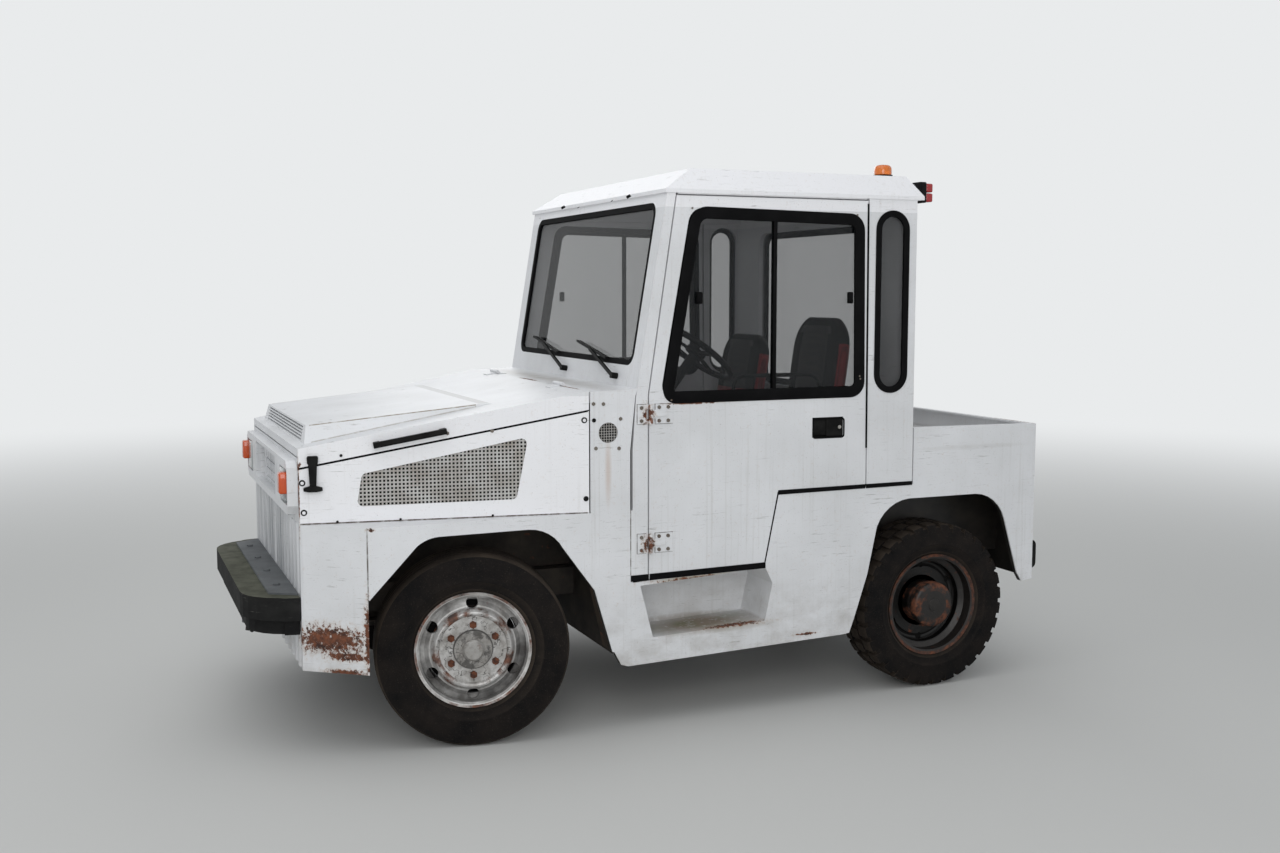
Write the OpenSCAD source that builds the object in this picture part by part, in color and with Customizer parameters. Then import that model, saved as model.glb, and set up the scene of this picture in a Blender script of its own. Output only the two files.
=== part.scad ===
// Airport tow tractor with a closed cab: a sheet-steel body on two frame rails, a tapered hood over the
// engine, two doors with outside hinges, steered front wheels and a rear deck with a tow coupling.
// +X points forward, +Y to the tractor's left, +Z up. The origin is on the ground under the middle.

/* [Overall] */
// From the front axle to the front of the bumper
front_overhang = 890; // [860:5:960]
// From the front axle to the rear axle
wheelbase = 2155; // [2120:5:2260]
// From the rear axle to the back of the rear bumpers
rear_overhang = 605; // [600:5:680]
// Width over the side sheets
body_w = 1720; // [1700:5:1780]

/* [Wheels] */
// Radius of a front tyre
front_tyre_r = 392; // [380:1:395]
// Radius of a rear tyre
rear_tyre_r = 380; // [372:1:390]
// Width of a tyre
tyre_w = 230; // [215:1:235]
// Radius over the rim flange
rim_r = 235; // [228:1:240]
// From the middle plane to the middle of a wheel
half_track = 735; // [725:1:742]
// From the middle plane to a kingpin
kingpin_y = 640; // [635:1:650]
// How far the parked front wheels are turned to the right, in degrees
parked_turn = 10; // [0:1:14]
// Radius of the wheel nuts' circle
stud_circle_r = 102; // [96:1:106]
// Wheel nuts on one wheel
studs = 6; // [5:1:8]
// Radius of a hand hole in a wheel disc
hand_hole_r = 24; // [20:1:25]

/* [Side sheets] */
// Thickness of the body sheets
sheet = 6; // [4:0.5:8]
// Height of the ledge over the front wheels
ledge_z = 920; // [910:1:940]
// Height of the sill's lower edge at the front wheel
sill_front_z = 264; // [250:1:290]
// Height of the sill's lower edge at the rear wheel
sill_rear_z = 301; // [290:1:320]
// Width of the folded edge behind a side sheet
fold = 30; // [20:1:40]
// Height of the lower edge of the front corners
corner_low_z = 345; // [330:1:370]
// Depth of the step recess in the sill
step_depth = 235; // [200:5:260]

/* [Hood] */
// From the front axle to the flat front face
face_x = 682; // [675:1:700]
// Half the width of the front face
face_half = 690; // [670:1:700]
// From the front axle back to the hood's rear edge
hood_rear = 450; // [440:1:470]
// Height of the hood's front edge
hood_front_z = 1217; // [1200:1:1230]
// Height of the hood's rear edge
hood_rear_z = 1418; // [1405:1:1430]
// Height of the lid's side flange
flange_h = 74; // [60:1:90]
// Half the width of the raised scoop at its foot
scoop_half = 595; // [560:5:610]
// Height of the scoop's front
scoop_h = 66; // [50:1:80]
// Louvre slots in the scoop's front
scoop_slots = 5; // [3:1:6]

/* [Cab] */
// Thickness of the cab's walls
wall = 40; // [36:1:46]
// Thickness of a door
door_t = 34; // [28:1:38]
// Gap round a door, the hood lid and the side sheets
gap = 6; // [5:0.5:8]
// Height of the roof's top
roof_top_z = 2328; // [2310:1:2350]
// Height of the roof shell
roof_h = 106; // [96:1:114]
// How far the cab's walls reach up inside the roof shell
roof_lap = 18; // [14:1:24]
// Width of the post on each side of the windscreen
screen_post = 88; // [80:1:110]
// How far the roof stands out past the side walls
roof_out = 9; // [8:1:14]
// Corner radius of the large windows
window_r = 70; // [50:5:85]
// Thickness of the glass
glass_t = 6; // [4:1:8]

/* [Rear] */
// Height of the rear deck's rim
deck_z = 1210; // [1190:5:1220]
// Depth of the deck's tray below its rim
tray_depth = 100; // [70:5:120]

/* [Couplings] */
// Bore of the rear coupling's jaws
rear_pin_bore_r = 21; // [18:0.5:24]
// Bore of the front towing eye
front_pin_bore_r = 16; // [14:0.5:20]

/* [Hidden] */
$fn = 48;

white = "#e9e8e2";
rubber = "#232323";
steel = "#8d8a84";
dark_steel = "#4a3a32";
black = "#1c1c1e";
glass = "#8fa9b4";

half_w = body_w / 2;
roof_low_z = roof_top_z - roof_h;
cab_top_z = roof_low_z + roof_lap;
// Foot of the raked panel over the dashboard
cab_low_z = 1395;
axle_x = (wheelbase + rear_overhang - front_overhang) / 2;
rear_axle_x = -wheelbase;
// The rear bumpers stand out past the rear wall
rear_bumper_out = 70;
tail_x = -wheelbase - rear_overhang + rear_bumper_out;

// The hood's sides draw in towards the front face
taper = atan((half_w - face_half) / (face_x + hood_rear));
hood_slope = atan((hood_rear_z - hood_front_z) / (face_x + hood_rear));
hood_x = -hood_rear;
function lid_z(x) = hood_front_z + (face_x - x) * tan(hood_slope);
function side_y(x) = face_half + (face_x - x) * tan(taper);
// Place along a tapered hood side of a point at x
function along_side(x) = (x - face_x) / cos(taper);

// The crease where the front corner meets the side sheet, and the cab's front edge
crease_x = 455;
pillar_x = -642;
cab_rear_x = -2005;
notch_z = 960;
door_low_front_z = 622;
door_low_rear_z = 652;

// The cab's raked front plane
screen_foot_x = -662;
screen_foot_z = 1425;
screen_rake = 0.167;
function front_x(z) = screen_foot_x - screen_rake * (z - screen_foot_z);

function arc_points(x, z, r, from, to, steps = 6) =
    [for (i = [0 : steps]) let (a = from + (to - from) * i / steps) [x + r * cos(a), z + r * sin(a)]];

module at_axle() {
    translate([axle_x, 0, 0]) children();
}

// A profile drawn in X and Z, extruded from y0 to y1
module plate_xz(y0, y1) {
    translate([0, y1, 0]) rotate([90, 0, 0]) linear_extrude(y1 - y0) children();
}

// A profile drawn in Y and Z, extruded from x0 to x1
module plate_yz(x0, x1) {
    translate([x0, 0, 0]) rotate([90, 0, 90]) linear_extrude(x1 - x0) children();
}

module both_sides() {
    children();
    mirror([0, 1, 0]) children();
}

// A box from its lowest to its highest corner
module block(low, high) {
    translate(low) cube(high - low);
}

module rounded(r) {
    offset(r = r, $fn = 32) offset(delta = -r) children();
}

// A panel on the left hood side, drawn along the side and in Z
module on_hood_side(y0, y1) {
    translate([face_x, face_half, 0]) rotate([0, 0, -taper]) plate_xz(y0, y1) children();
}

// Frame rails
rail_y = 350;
rail_half = 30;
rail_low_z = 480;
rail_top_z = 600;
rail_front_x = face_x - 2 * sheet;
cross_x = [600, -560, -1290, -1740, -2560];
outrigger_x = [-740, -1240];

module frame_rails() color(dark_steel) at_axle() {
    for (side = [-1, 1])
        block([tail_x + 40, side * rail_y - rail_half, rail_low_z],
            [rail_front_x, side * rail_y + rail_half, rail_top_z]);
    for (x = cross_x)
        block([x - 30, -rail_y, rail_low_z + 20], [x + 30, rail_y, rail_top_z - 20]);
    // Outriggers that carry the steps
    both_sides() for (x = outrigger_x)
        block([x - 20, rail_y, 540], [x + 20, half_w - step_depth - sheet, rail_top_z]);
}

// Front axle
axle_beam_z = front_tyre_r;
eye_r = 36;
eye_half = 32;
kingpin_r = 18;
running_gap = 0.1;
leaf_t = 9;
leaf_w = 56;
leaf_half = 400;
front_leaves = 5;
rear_leaves = 3;

// A leaf pack under one rail, hung from it at both ends
module leaf_pack(x, seat_z, side, leaves) {
    main_z = seat_z + (leaves - 1) * leaf_t;
    for (i = [0 : leaves - 1]) {
        half = leaf_half * (1 - 0.17 * i);
        block(
            [x - half, side * rail_y - leaf_w / 2, main_z - i * leaf_t],
            [x + half, side * rail_y + leaf_w / 2, main_z - (i - 1) * leaf_t]);
    }
    for (end = [-1, 1])
        block(
            [x + end * (leaf_half - 20) - 20, side * rail_y - leaf_w / 2 + 6, main_z + leaf_t - 1],
            [x + end * (leaf_half - 20) + 20, side * rail_y + leaf_w / 2 - 6, rail_low_z]);
}

module front_axle() color(dark_steel) at_axle() {
    difference() {
        union() {
            plate_yz(-38, 38) polygon([
                [-kingpin_y + eye_r - 8, axle_beam_z - 30], [-480, axle_beam_z - 42],
                    [-420, axle_beam_z - 66],
                [420, axle_beam_z - 66], [480, axle_beam_z - 42], [kingpin_y - eye_r + 8, axle_beam_z - 30],
                [kingpin_y - eye_r + 8, axle_beam_z + 30], [440, axle_beam_z + 6], [-440, axle_beam_z + 6],
                [-kingpin_y + eye_r - 8, axle_beam_z + 30]]);
            for (side = [-1, 1])
                translate([0, side * kingpin_y, axle_beam_z - eye_half])
                    cylinder(r = eye_r, h = 2 * eye_half);
        }
        for (side = [-1, 1])
            translate([0, side * kingpin_y, axle_beam_z - eye_half - 1])
                cylinder(r = kingpin_r + running_gap, h = 2 * eye_half + 2);
    }
    for (side = [-1, 1]) leaf_pack(0, axle_beam_z + 6, side, front_leaves);
}

// Rear axle
rear_tube_r = 58;
banjo_r = 165;
spindle_r = 30;
engine_rear_x = -330;
shaft_front_z = 440;

module rear_axle() color(dark_steel) at_axle() {
    translate([rear_axle_x, 0, rear_tyre_r]) {
        rotate([90, 0, 0]) cylinder(r = rear_tube_r, h = 2 * (half_track - 40), center = true);
        rotate([90, 0, 0]) cylinder(r = spindle_r, h = 2 * (half_track + 50), center = true);
        intersection() {
            sphere(r = banjo_r);
            cube([2 * banjo_r, 260, 2 * banjo_r], center = true);
        }
        rotate([0, 90, 0]) cylinder(r = 48, h = 280);
    }
    // Propeller shaft up to its flange on the engine's rear face
    shaft_l = engine_rear_x - 6 - rear_axle_x - 280;
    translate([rear_axle_x + 276, 0, rear_tyre_r])
        rotate([0, 90 - atan((shaft_front_z - rear_tyre_r) / shaft_l), 0]) cylinder(r = 28, h = shaft_l);
    translate([engine_rear_x - 14, 0, shaft_front_z]) rotate([0, 90, 0]) cylinder(r = 60, h = 14);
    for (side = [-1, 1])
        leaf_pack(rear_axle_x, rear_tyre_r + rear_tube_r - 6, side, rear_leaves);
}

// Engine
module engine_block() color(dark_steel) at_axle() {
    block([engine_rear_x, -(rail_y - rail_half), 405], [560, rail_y - rail_half, 960]);
}

// Side sheets
arch_front_top = 868;
arch_rear_top = 890;
arch_front = concat(
    [[crease_x - 7, 100], [crease_x - 7, 641]],
    arc_points(170, arch_front_top - 150, 150, 52, 88),
    arc_points(-190, arch_front_top - 165, 168, 90, 152),
    [[-473, 599], [-590, 200]]);
arch_rear = concat(
    [[-1650, 200], [-1712, 363], [-1778, 560]],
    arc_points(-2000, arch_rear_top - 190, 190, 22, 88),
    arc_points(-2350, arch_rear_top - 180, 180, 92, 162),
    [[-2612, 470], [-2640, 200]]);

skirt_outline = [
    [crease_x, 641], [crease_x, ledge_z], [pillar_x, ledge_z], [pillar_x, door_low_front_z - gap],
    [-1261, door_low_rear_z - gap], [-1324, notch_z - gap], [cab_rear_x - gap, notch_z - gap],
    [cab_rear_x - gap, deck_z], [tail_x, deck_z - 6], [tail_x, 465], [tail_x + 60, 458],
    [-2604, 500], [-1713, 363], [-1690, sill_rear_z], [-1660, sill_rear_z - 4],
    [-620, sill_front_z], [-590, sill_front_z + 10], [-560, 330]];
step_opening = [
    [-676, 600], [-733, 376], [-1262, 396], [-1298, 560], [-1262, door_low_rear_z - gap - 14],
    [-700, door_low_front_z - gap - 14]];

module skirt_face() {
    difference() {
        polygon(skirt_outline);
        polygon(arch_front);
        polygon(arch_rear);
    }
}

module skirt() color(white) at_axle() {
    plate_xz(half_w - sheet, half_w) difference() {
        skirt_face();
        polygon(step_opening);
    }
    // Folded edge round the sheet
    plate_xz(half_w - fold, half_w - sheet) difference() {
        skirt_face();
        offset(delta = -sheet) skirt_face();
        polygon(step_opening);
    }
    // Step recess: its walls, then its back
    plate_xz(half_w - step_depth, half_w - sheet) difference() {
        offset(delta = sheet) polygon(step_opening);
        polygon(step_opening);
    }
    plate_xz(half_w - step_depth - sheet, half_w - step_depth) offset(delta = sheet) polygon(step_opening);
    // Front corner, splayed out from the front face to the crease
    translate([0, 0, corner_low_z]) linear_extrude(ledge_z - corner_low_z) polygon([
        [face_x, face_half], [crease_x, half_w], [crease_x, half_w - sheet], [face_x - sheet, face_half - 3],
        [face_x - sheet, face_half - 30], [face_x, face_half - 30]]);
    // Ledge over the wheel
    translate([0, 0, ledge_z - sheet]) linear_extrude(sheet) polygon([
        [face_x, face_half - 32], [face_x, face_half], [crease_x, half_w], [pillar_x, half_w],
        [pillar_x, half_w - fold], [hood_x, half_w - 44]]);
}

module skirt_left() skirt();
module skirt_right() mirror([0, 1, 0]) skirt();

// Front face: a ribbed lower panel and an upper panel with louvre slots
rib_pitch = 92;
rib_t = 9;
rib_foot = 27;
rib_top = 15;
grille_low_z = ledge_z;
grille_top_z = hood_front_z - 32 - gap;
grille_shoulder_z = hood_front_z - flange_h - gap;
front_slots = [1006, 1046, 1086, 1126];
slot_half = 250;

module front_panel() color(white) at_axle() {
    half = face_half - 36;
    block([face_x - 2 * sheet, -half, corner_low_z], [face_x - sheet, half, grille_low_z]);
    count = floor(2 * half / rib_pitch);
    for (i = [0 : count - 1]) {
        y = -half + (i + 0.5) * 2 * half / count;
        translate([face_x - sheet, y, corner_low_z]) linear_extrude(grille_low_z - corner_low_z)
            polygon([[0, -rib_foot], [rib_t, -rib_top], [rib_t, rib_top], [0, rib_foot]]);
    }
    // Edge strips behind the corners' folds
    both_sides() block([face_x - 2 * sheet, half, corner_low_z],
        [face_x - sheet, face_half - 10, ledge_z - sheet]);
}

bezel_half = face_half - 35;
lamp_y = bezel_half - 110;
lamp_z = 1062;
lamp_w = 190;
lamp_h = 135;
bezel_t = 38;

module lamp_outline(grow) {
    rounded(14) square([lamp_w + 2 * grow, lamp_h + 2 * grow], center = true);
}

module grille_panel() color(white) at_axle() {
    difference() {
        union() {
            plate_yz(face_x - sheet, face_x) polygon([
                [-(face_half - sheet), grille_low_z], [face_half - sheet, grille_low_z],
                [face_half - sheet, grille_shoulder_z], [face_half - 2 * sheet - 1, grille_shoulder_z],
                [face_half - 2 * sheet - 1, grille_top_z], [-(face_half - 2 * sheet - 1), grille_top_z],
                [-(face_half - 2 * sheet - 1), grille_shoulder_z],
                    [-(face_half - sheet), grille_shoulder_z]]);
            block([face_x - 3 * sheet, 50 - face_half, grille_low_z],
                [face_x - sheet, face_half - 50, grille_low_z + 20]);
            // Raised surround across the face, with bevelled ends
            plate_yz(face_x, face_x + bezel_t) polygon([
                [-bezel_half, 990], [35 - bezel_half, 955], [bezel_half - 35, 955], [bezel_half, 990],
                [bezel_half, 1140], [bezel_half - 35, 1165], [35 - bezel_half, 1165], [-bezel_half, 1140]]);
        }
        plate_yz(face_x - 1, face_x + bezel_t + 1)
            polygon([[-slot_half - 60, 985], [slot_half + 60, 985], [slot_half + 60, 1148],
                [-slot_half - 60, 1148]]);
        for (side = [-1, 1])
            translate([face_x + 8, side * lamp_y, lamp_z]) rotate([90, 0, 90])
                linear_extrude(bezel_t) lamp_outline(gap / 2);
    }
    // Slotted plate inside the surround
    difference() {
        block([face_x - sheet, -slot_half - 60, 985], [face_x + 4, slot_half + 60, 1148]);
        for (z = front_slots)
            block([face_x - sheet - 1, -slot_half, z - 7], [face_x + 5, slot_half, z + 7]);
    }
}

indicator_w = 58;
indicator_h = 86;
indicator_out = 28;
module front_lamps() color("#d8d8d4") at_axle() {
    for (side = [-1, 1]) translate([face_x + 8, side * lamp_y, lamp_z]) rotate([90, 0, 90])
        linear_extrude(bezel_t - 2) translate([-side * indicator_w / 2, 0]) rounded(12)
            square([lamp_w - indicator_w - 4, lamp_h], center = true);
    for (side = [-1, 1]) translate([face_x + 8, side * lamp_y, lamp_z]) rotate([90, 0, 90])
        linear_extrude(bezel_t - 8 + indicator_out)
            translate([side * (lamp_w - indicator_w) / 2, (lamp_h - indicator_h) / 2 - 8]) rounded(10)
                square([indicator_w - 4, indicator_h], center = true);
}

// Hood sides and their perforated panels
side_grille = [[444, 1112], [-205, 1240], [-156, 990], [466, 984]];
mesh_pitch = 26;
mesh_hole = 15;

function hood_point(p) = [along_side(p[0]), p[1]];

module hood_side() {
    on_hood_side(-sheet, 0) difference() {
        polygon([
            hood_point([face_x, ledge_z]),
            hood_point([face_x, hood_front_z - flange_h - gap]),
            hood_point([hood_x, hood_rear_z - flange_h - gap]),
            hood_point([hood_x, ledge_z])]);
        rounded(22) polygon([for (p = side_grille) hood_point(p)]);
    }
    // Front and rear posts behind the sheet
    hood_post(face_x - sheet - 26, face_x - sheet, hood_front_z - flange_h - gap - 30);
    hood_post(hood_x, hood_x + 26, hood_rear_z - flange_h - gap - 10);
}

function behind_side(x) = side_y(x) - sheet / cos(taper);
module hood_post(x0, x1, top) {
    translate([0, 0, ledge_z]) linear_extrude(top - ledge_z) polygon([
        [x0, behind_side(x0)], [x1, behind_side(x1)], [x1, behind_side(x1) - 34],
            [x0, behind_side(x0) - 34]]);
}

module hood_sides() color(white) at_axle() both_sides() hood_side();

module side_grilles() color("#6e6c66") at_axle() both_sides() {
    first = side_grille[2][0];
    last = side_grille[0][0];
    columns = floor((last - first) / mesh_pitch);
    on_hood_side(-sheet - 3, -sheet) difference() {
        offset(delta = 12) polygon([for (p = side_grille) hood_point(p)]);
        for (i = [0 : columns]) {
            x = first + i * mesh_pitch;
            slope = (side_grille[1][1] - side_grille[0][1]) / (side_grille[1][0] - side_grille[0][0]);
            top = side_grille[0][1] + (x - side_grille[0][0]) * slope;
            rows = floor((top - 996) / mesh_pitch);
            for (k = [0 : rows - 1])
                translate([along_side(x), 1004 + k * mesh_pitch]) square(mesh_hole, center = true);
        }
    }
}

// Cowl between the hood and the cab, with the lid's hinge line along its front edge
hood_hinges = [-480, 480];
hinge_lift = 10;

// The lid's hinge axis, along Y. Inside, X points forward and Y down.
module at_hood_hinge(y) {
    translate([hood_x - gap / 2, y, hood_rear_z + hinge_lift]) rotate([-90, 0, 0]) children();
}

vent_x = -534;
vent_z = 1247;
vent_r = 42;
cowl_top_rear_z = 1424;

module cowl() color(white) at_axle() {
    // Top plate
    plate_xz(-half_w, half_w) polygon([
        [hood_x - gap, hood_rear_z - 2], [front_x(cowl_top_rear_z), cowl_top_rear_z],
        [front_x(cowl_top_rear_z - sheet), cowl_top_rear_z - sheet],
            [hood_x - gap, hood_rear_z - 2 - sheet]]);
    both_sides() {
        plate_xz(half_w - sheet, half_w) difference() {
            polygon([
                [hood_x - gap, ledge_z], [hood_x - gap, hood_rear_z - 2 - sheet],
                [front_x(cowl_top_rear_z - sheet), cowl_top_rear_z - sheet], [screen_foot_x + 9, 1392],
                [-630, 1169], [-630, ledge_z]]);
            translate([vent_x, vent_z]) circle(r = vent_r);
        }
        // Wire mesh behind the round vent
        plate_xz(half_w - sheet - 3, half_w - sheet) translate([vent_x, vent_z]) difference() {
            circle(r = vent_r + 8);
            for (i = [-3 : 3]) for (k = [-3 : 3])
                if (norm([i, k]) < 3.3) translate([i * 11, k * 11]) square(7, center = true);
        }
    }
    // Hinge halves at the lid's rear edge, with their pins
    for (y = hood_hinges) {
        block([hood_x - gap - 42, y - 55, hood_rear_z - 3], [hood_x - gap - 8, y + 55, hood_rear_z + 3]);
        for (end = [-1, 1]) at_hood_hinge(y + end * 43 - 12) {
            cylinder(r = 8, h = 24);
            block([-14, 0, 0], [-3, hinge_lift + 3, 24]);
        }
        at_hood_hinge(y - 55) cylinder(r = 4, h = 110);
    }
    // Front edge channel under the lid's rear edge
    block([hood_x - gap - 20, sheet - half_w, hood_rear_z - 48],
        [hood_x - gap, half_w - sheet, hood_rear_z - 7]);
}

// Front bumper: a rubber block with drawn-in ends and a steel plate over its back
bumper_top_z = 634;
bumper_low_z = 482;
bumper_front_x = front_overhang;
plate_front_x = 792;
bumper_end_y = face_half - 4;
rib_face_x = face_x - sheet + rib_t;

module bumper_plan(inset) {
    far = bumper_front_x - inset;
    polygon(concat(
        [[rib_face_x, -bumper_end_y + inset], [rib_face_x, bumper_end_y - inset]],
        [[face_x + 60, bumper_end_y - inset - 12]],
        arc_points(far - 190, bumper_end_y - 210 - inset, 190, 70, 0, 5),
        arc_points(far - 190, -(bumper_end_y - 210 - inset), 190, 0, -70, 5),
        [[face_x + 60, -(bumper_end_y - inset - 12)]]));
}

module front_bumper() color(rubber) at_axle() {
    translate([0, 0, bumper_low_z]) linear_extrude(60) bumper_plan(24);
    translate([0, 0, bumper_low_z + 60]) linear_extrude(bumper_top_z - bumper_low_z - 60) bumper_plan(0);
}

hitch_low_z = 395;
hitch_t = 16;
front_pin_x = 800;

module front_hitch() color(dark_steel) at_axle() {
    // Top plate with its four bolts' heads
    translate([0, 0, bumper_top_z]) linear_extrude(8) polygon([
        [rib_face_x, -640], [plate_front_x, -575], [plate_front_x, 575], [rib_face_x, 640]]);
    for (y = [-450, -150, 150, 450])
        translate([745, y, bumper_top_z + 8]) cylinder(r = 14, h = 7, $fn = 6);
    // Towing jaws under the bumper
    difference() {
        union() {
            block([rib_face_x, -90, hitch_low_z - 35], [rib_face_x + 12, 90, bumper_low_z]);
            for (z = [hitch_low_z, bumper_low_z - hitch_t])
                translate([0, 0, z]) linear_extrude(hitch_t) polygon(concat(
                    [[rib_face_x + 12, 55], [rib_face_x + 12, -55]],
                        arc_points(front_pin_x, 0, 36, -70, 70, 8)));
        }
        translate([front_pin_x, 0, hitch_low_z - 1])
            cylinder(r = front_pin_bore_r, h = bumper_low_z - hitch_low_z + 2);
    }
}

// Rear deck: the tray, the rear wall and the wheel housings under it
tray_z = deck_z - tray_depth;
house_y = 590;
rear_wall_t = 8;

module rear_deck() color(white) at_axle() {
    inner = half_w - sheet;
    rim_inner = half_w - fold;
    // Tray floor, rear wall with its rim, front wall
    block([tail_x + rear_wall_t, -inner, tray_z - sheet], [cab_rear_x - gap - sheet, inner, tray_z]);
    block([tail_x, -rim_inner, 470], [tail_x + rear_wall_t, rim_inner, deck_z - 6]);
    block([tail_x + rear_wall_t, -rim_inner, deck_z - 14], [tail_x + fold, rim_inner, deck_z - 6]);
    block([cab_rear_x - gap - sheet, -rim_inner, notch_z + 8], [cab_rear_x - gap, rim_inner, deck_z]);
    both_sides() {
        // Inner wall of the wheel housing
        block([tail_x + rear_wall_t, house_y, 600], [-1700, house_y + sheet, notch_z - gap - sheet]);
        block([tail_x + rear_wall_t, house_y, notch_z - 20],
            [cab_rear_x - gap - sheet, house_y + sheet, tray_z - sheet]);
        // Roof of the housing under the cab's raised floor
        block([cab_rear_x - gap, house_y, notch_z - gap - 2 * sheet],
            [-1700, rim_inner, notch_z - gap - sheet]);
        // Feet down to the frame rail
        block([tail_x + rear_wall_t, rail_y + rail_half, 560], [tail_x + 100, house_y, 700]);
        block([-2060, rail_y - rail_half, rail_top_z], [-2020, rail_y + rail_half, tray_z - sheet]);
    }
}

module rear_bumpers() color(rubber) at_axle() both_sides() {
    plate_xz(620, 800) polygon(concat(
        [[tail_x, 500], [tail_x, 636]], arc_points(tail_x - 44, 610, 26, 90, 180, 4),
        arc_points(tail_x - 44, 526, 26, 180, 270, 4)));
}

rear_jaw_z = 396;
rear_jaw_gap = 36;
jaw_t = 18;
rear_pin_x = tail_x - 34;
jaw_end_r = 36;

module rear_hitch() color(dark_steel) at_axle() {
    difference() {
        union() {
            block([tail_x + rear_wall_t, -110, rear_jaw_z - 16], [tail_x + 40, 110, rail_low_z]);
            for (z = [rear_jaw_z, rear_jaw_z + jaw_t + rear_jaw_gap])
                translate([0, 0, z]) linear_extrude(jaw_t) polygon(concat(
                    [[tail_x + rear_wall_t, -70]], arc_points(rear_pin_x, 0, jaw_end_r, 250, 110, 8),
                    [[tail_x + rear_wall_t, 70]]));
        }
        translate([rear_pin_x, 0, rear_jaw_z - 1]) cylinder(r = rear_pin_bore_r,
            h = rear_jaw_gap + 2 * jaw_t + 2);
    }
    // Drawbar between the frame rails
    block([tail_x + rear_wall_t, -rail_y + rail_half, rail_low_z],
        [tail_x + 70, rail_y - rail_half, rail_low_z + 60]);
}

// Door outline, shared by the door and by its opening in the cab's side
door_rear_x = -1760;
hinge_x = -716;
hinge_heights = [778, 1317];
hinge_out = 16;
// Half the height of a hinge leaf, and half that of the door leaf's barrel
hinge_leaf_half = 40;
barrel_half = 18;
door_front_x = -715;
door_bend_z = 1398;
door_top_z = roof_low_z - 10;
door_top_front_x = -838;
door_outline = [
    [door_top_front_x, door_top_z], [door_front_x, door_bend_z], [door_front_x, door_low_front_z + 3],
    [-1256, door_low_rear_z], [-1319, notch_z], [door_rear_x, notch_z], [door_rear_x + 8, door_top_z]];
door_window = [
    [-900, door_top_z - 47], [-760, 1362], [-1742, 1362], [-1730, door_top_z - 62]];

slot_x = -1880;
slot_r = 84;
slot_low_z = 1373;
slot_top_z = roof_low_z - 50;

module slot_outline(grow) {
    hull() {
        translate([slot_x, slot_low_z + slot_r]) circle(r = slot_r + grow, $fn = 32);
        translate([slot_x, slot_top_z - slot_r]) circle(r = slot_r + grow, $fn = 32);
    }
}

module cab_side() {
    difference() {
        polygon([
            [pillar_x, door_low_front_z + 3], [pillar_x, 1169], [front_x(cab_low_z), cab_low_z],
            [front_x(cab_top_z), cab_top_z], [cab_rear_x, cab_top_z], [cab_rear_x, notch_z + 8],
            [-1500, notch_z + 8], [-1500, door_low_front_z + 3]]);
        offset(delta = gap) polygon(concat(door_outline, [[door_rear_x, 400], [door_front_x, 400]]));
        offset(delta = gap) polygon(door_outline);
        slot_outline(0);
    }
}

screen_half = half_w - screen_post;
screen_low_z = 1512;
screen_top_z = roof_low_z - 34;
rear_window_half = half_w - 300;
rear_window_low = 1330;
rear_window_top = roof_low_z - 92;

// A slab parallel to the raked front plane, between two depths behind it
module raked(y0, y1, near, far, low, top) {
    plate_xz(y0, y1) polygon([
        [front_x(low) - near, low], [front_x(top) - near, top], [front_x(top) - far, top],
            [front_x(low) - far, low]]);
}

// The windscreen's outline, drawn upright and laid on the raked plane
module screen_outline(grow) {
    cosine = cos(atan(screen_rake));
    translate([0, screen_low_z / cosine]) rounded(60 + grow) polygon([
        [-screen_half - grow, -grow], [screen_half + grow, -grow],
        [screen_half + grow, (screen_top_z - screen_low_z) / cosine + grow],
        [-screen_half - grow, (screen_top_z - screen_low_z) / cosine + grow]]);
}

module on_screen(near, far) {
    translate([front_x(0), 0, 0]) rotate([0, -atan(screen_rake), 0])
        rotate([90, 0, 90]) translate([0, 0, -far]) linear_extrude(far - near) children();
}

module cab_frame() color(white) at_axle() {
    // Side walls with the slot windows
    both_sides() plate_xz(half_w - wall, half_w) cab_side();
    // Raked front panel round the windscreen
    difference() {
        raked(-(half_w - wall), half_w - wall, 0, wall, cab_low_z, cab_top_z);
        on_screen(-20, wall + 20) screen_outline(0);
    }
    // Rear wall with its window
    difference() {
        block([cab_rear_x, -(half_w - wall), notch_z + 8], [cab_rear_x + wall, half_w - wall, cab_top_z]);
        plate_yz(cab_rear_x - 1, cab_rear_x + wall + 1) rounded(window_r) polygon([
            [-rear_window_half, rear_window_low], [rear_window_half, rear_window_low],
            [rear_window_half, rear_window_top], [-rear_window_half, rear_window_top]]);
    }
    // Header rails inside the side walls' top
    both_sides() block(
        [cab_rear_x + wall, half_w - wall - 40, cab_top_z - 50],
            [front_x(cab_top_z - 50) - wall, half_w - wall, cab_top_z]);
    // Hinge leaves and pins on the front pillars
    both_sides() for (z = hinge_heights) {
        block([hinge_x + 16, half_w, z - hinge_leaf_half], [pillar_x - 20, half_w + 6, z + hinge_leaf_half]);
        knuckle_h = hinge_leaf_half - barrel_half - 2;
        for (low = [z - hinge_leaf_half, z + barrel_half + 2]) translate([hinge_x, half_w + hinge_out, low]) {
            cylinder(r = 9, h = knuckle_h);
            block([7, -hinge_out, 0], [24, -hinge_out + 6, knuckle_h]);
            block([0, -hinge_out + 3, 0], [9, 0, knuckle_h]);
        }
        translate([hinge_x, half_w + hinge_out, z - hinge_leaf_half - 3])
            cylinder(r = 4.5, h = 2 * hinge_leaf_half + 6);
    }
}

// Floor: a firewall, a footwell and a raised rear floor over the axle
floor_z = 652;
riser_x = -1330;
function cowl_under(x) = hood_rear_z - 2 - sheet
    + (cowl_top_rear_z - hood_rear_z + 2) * (hood_x - gap - x)
        / (hood_x - gap - front_x(cowl_top_rear_z - sheet));

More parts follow.
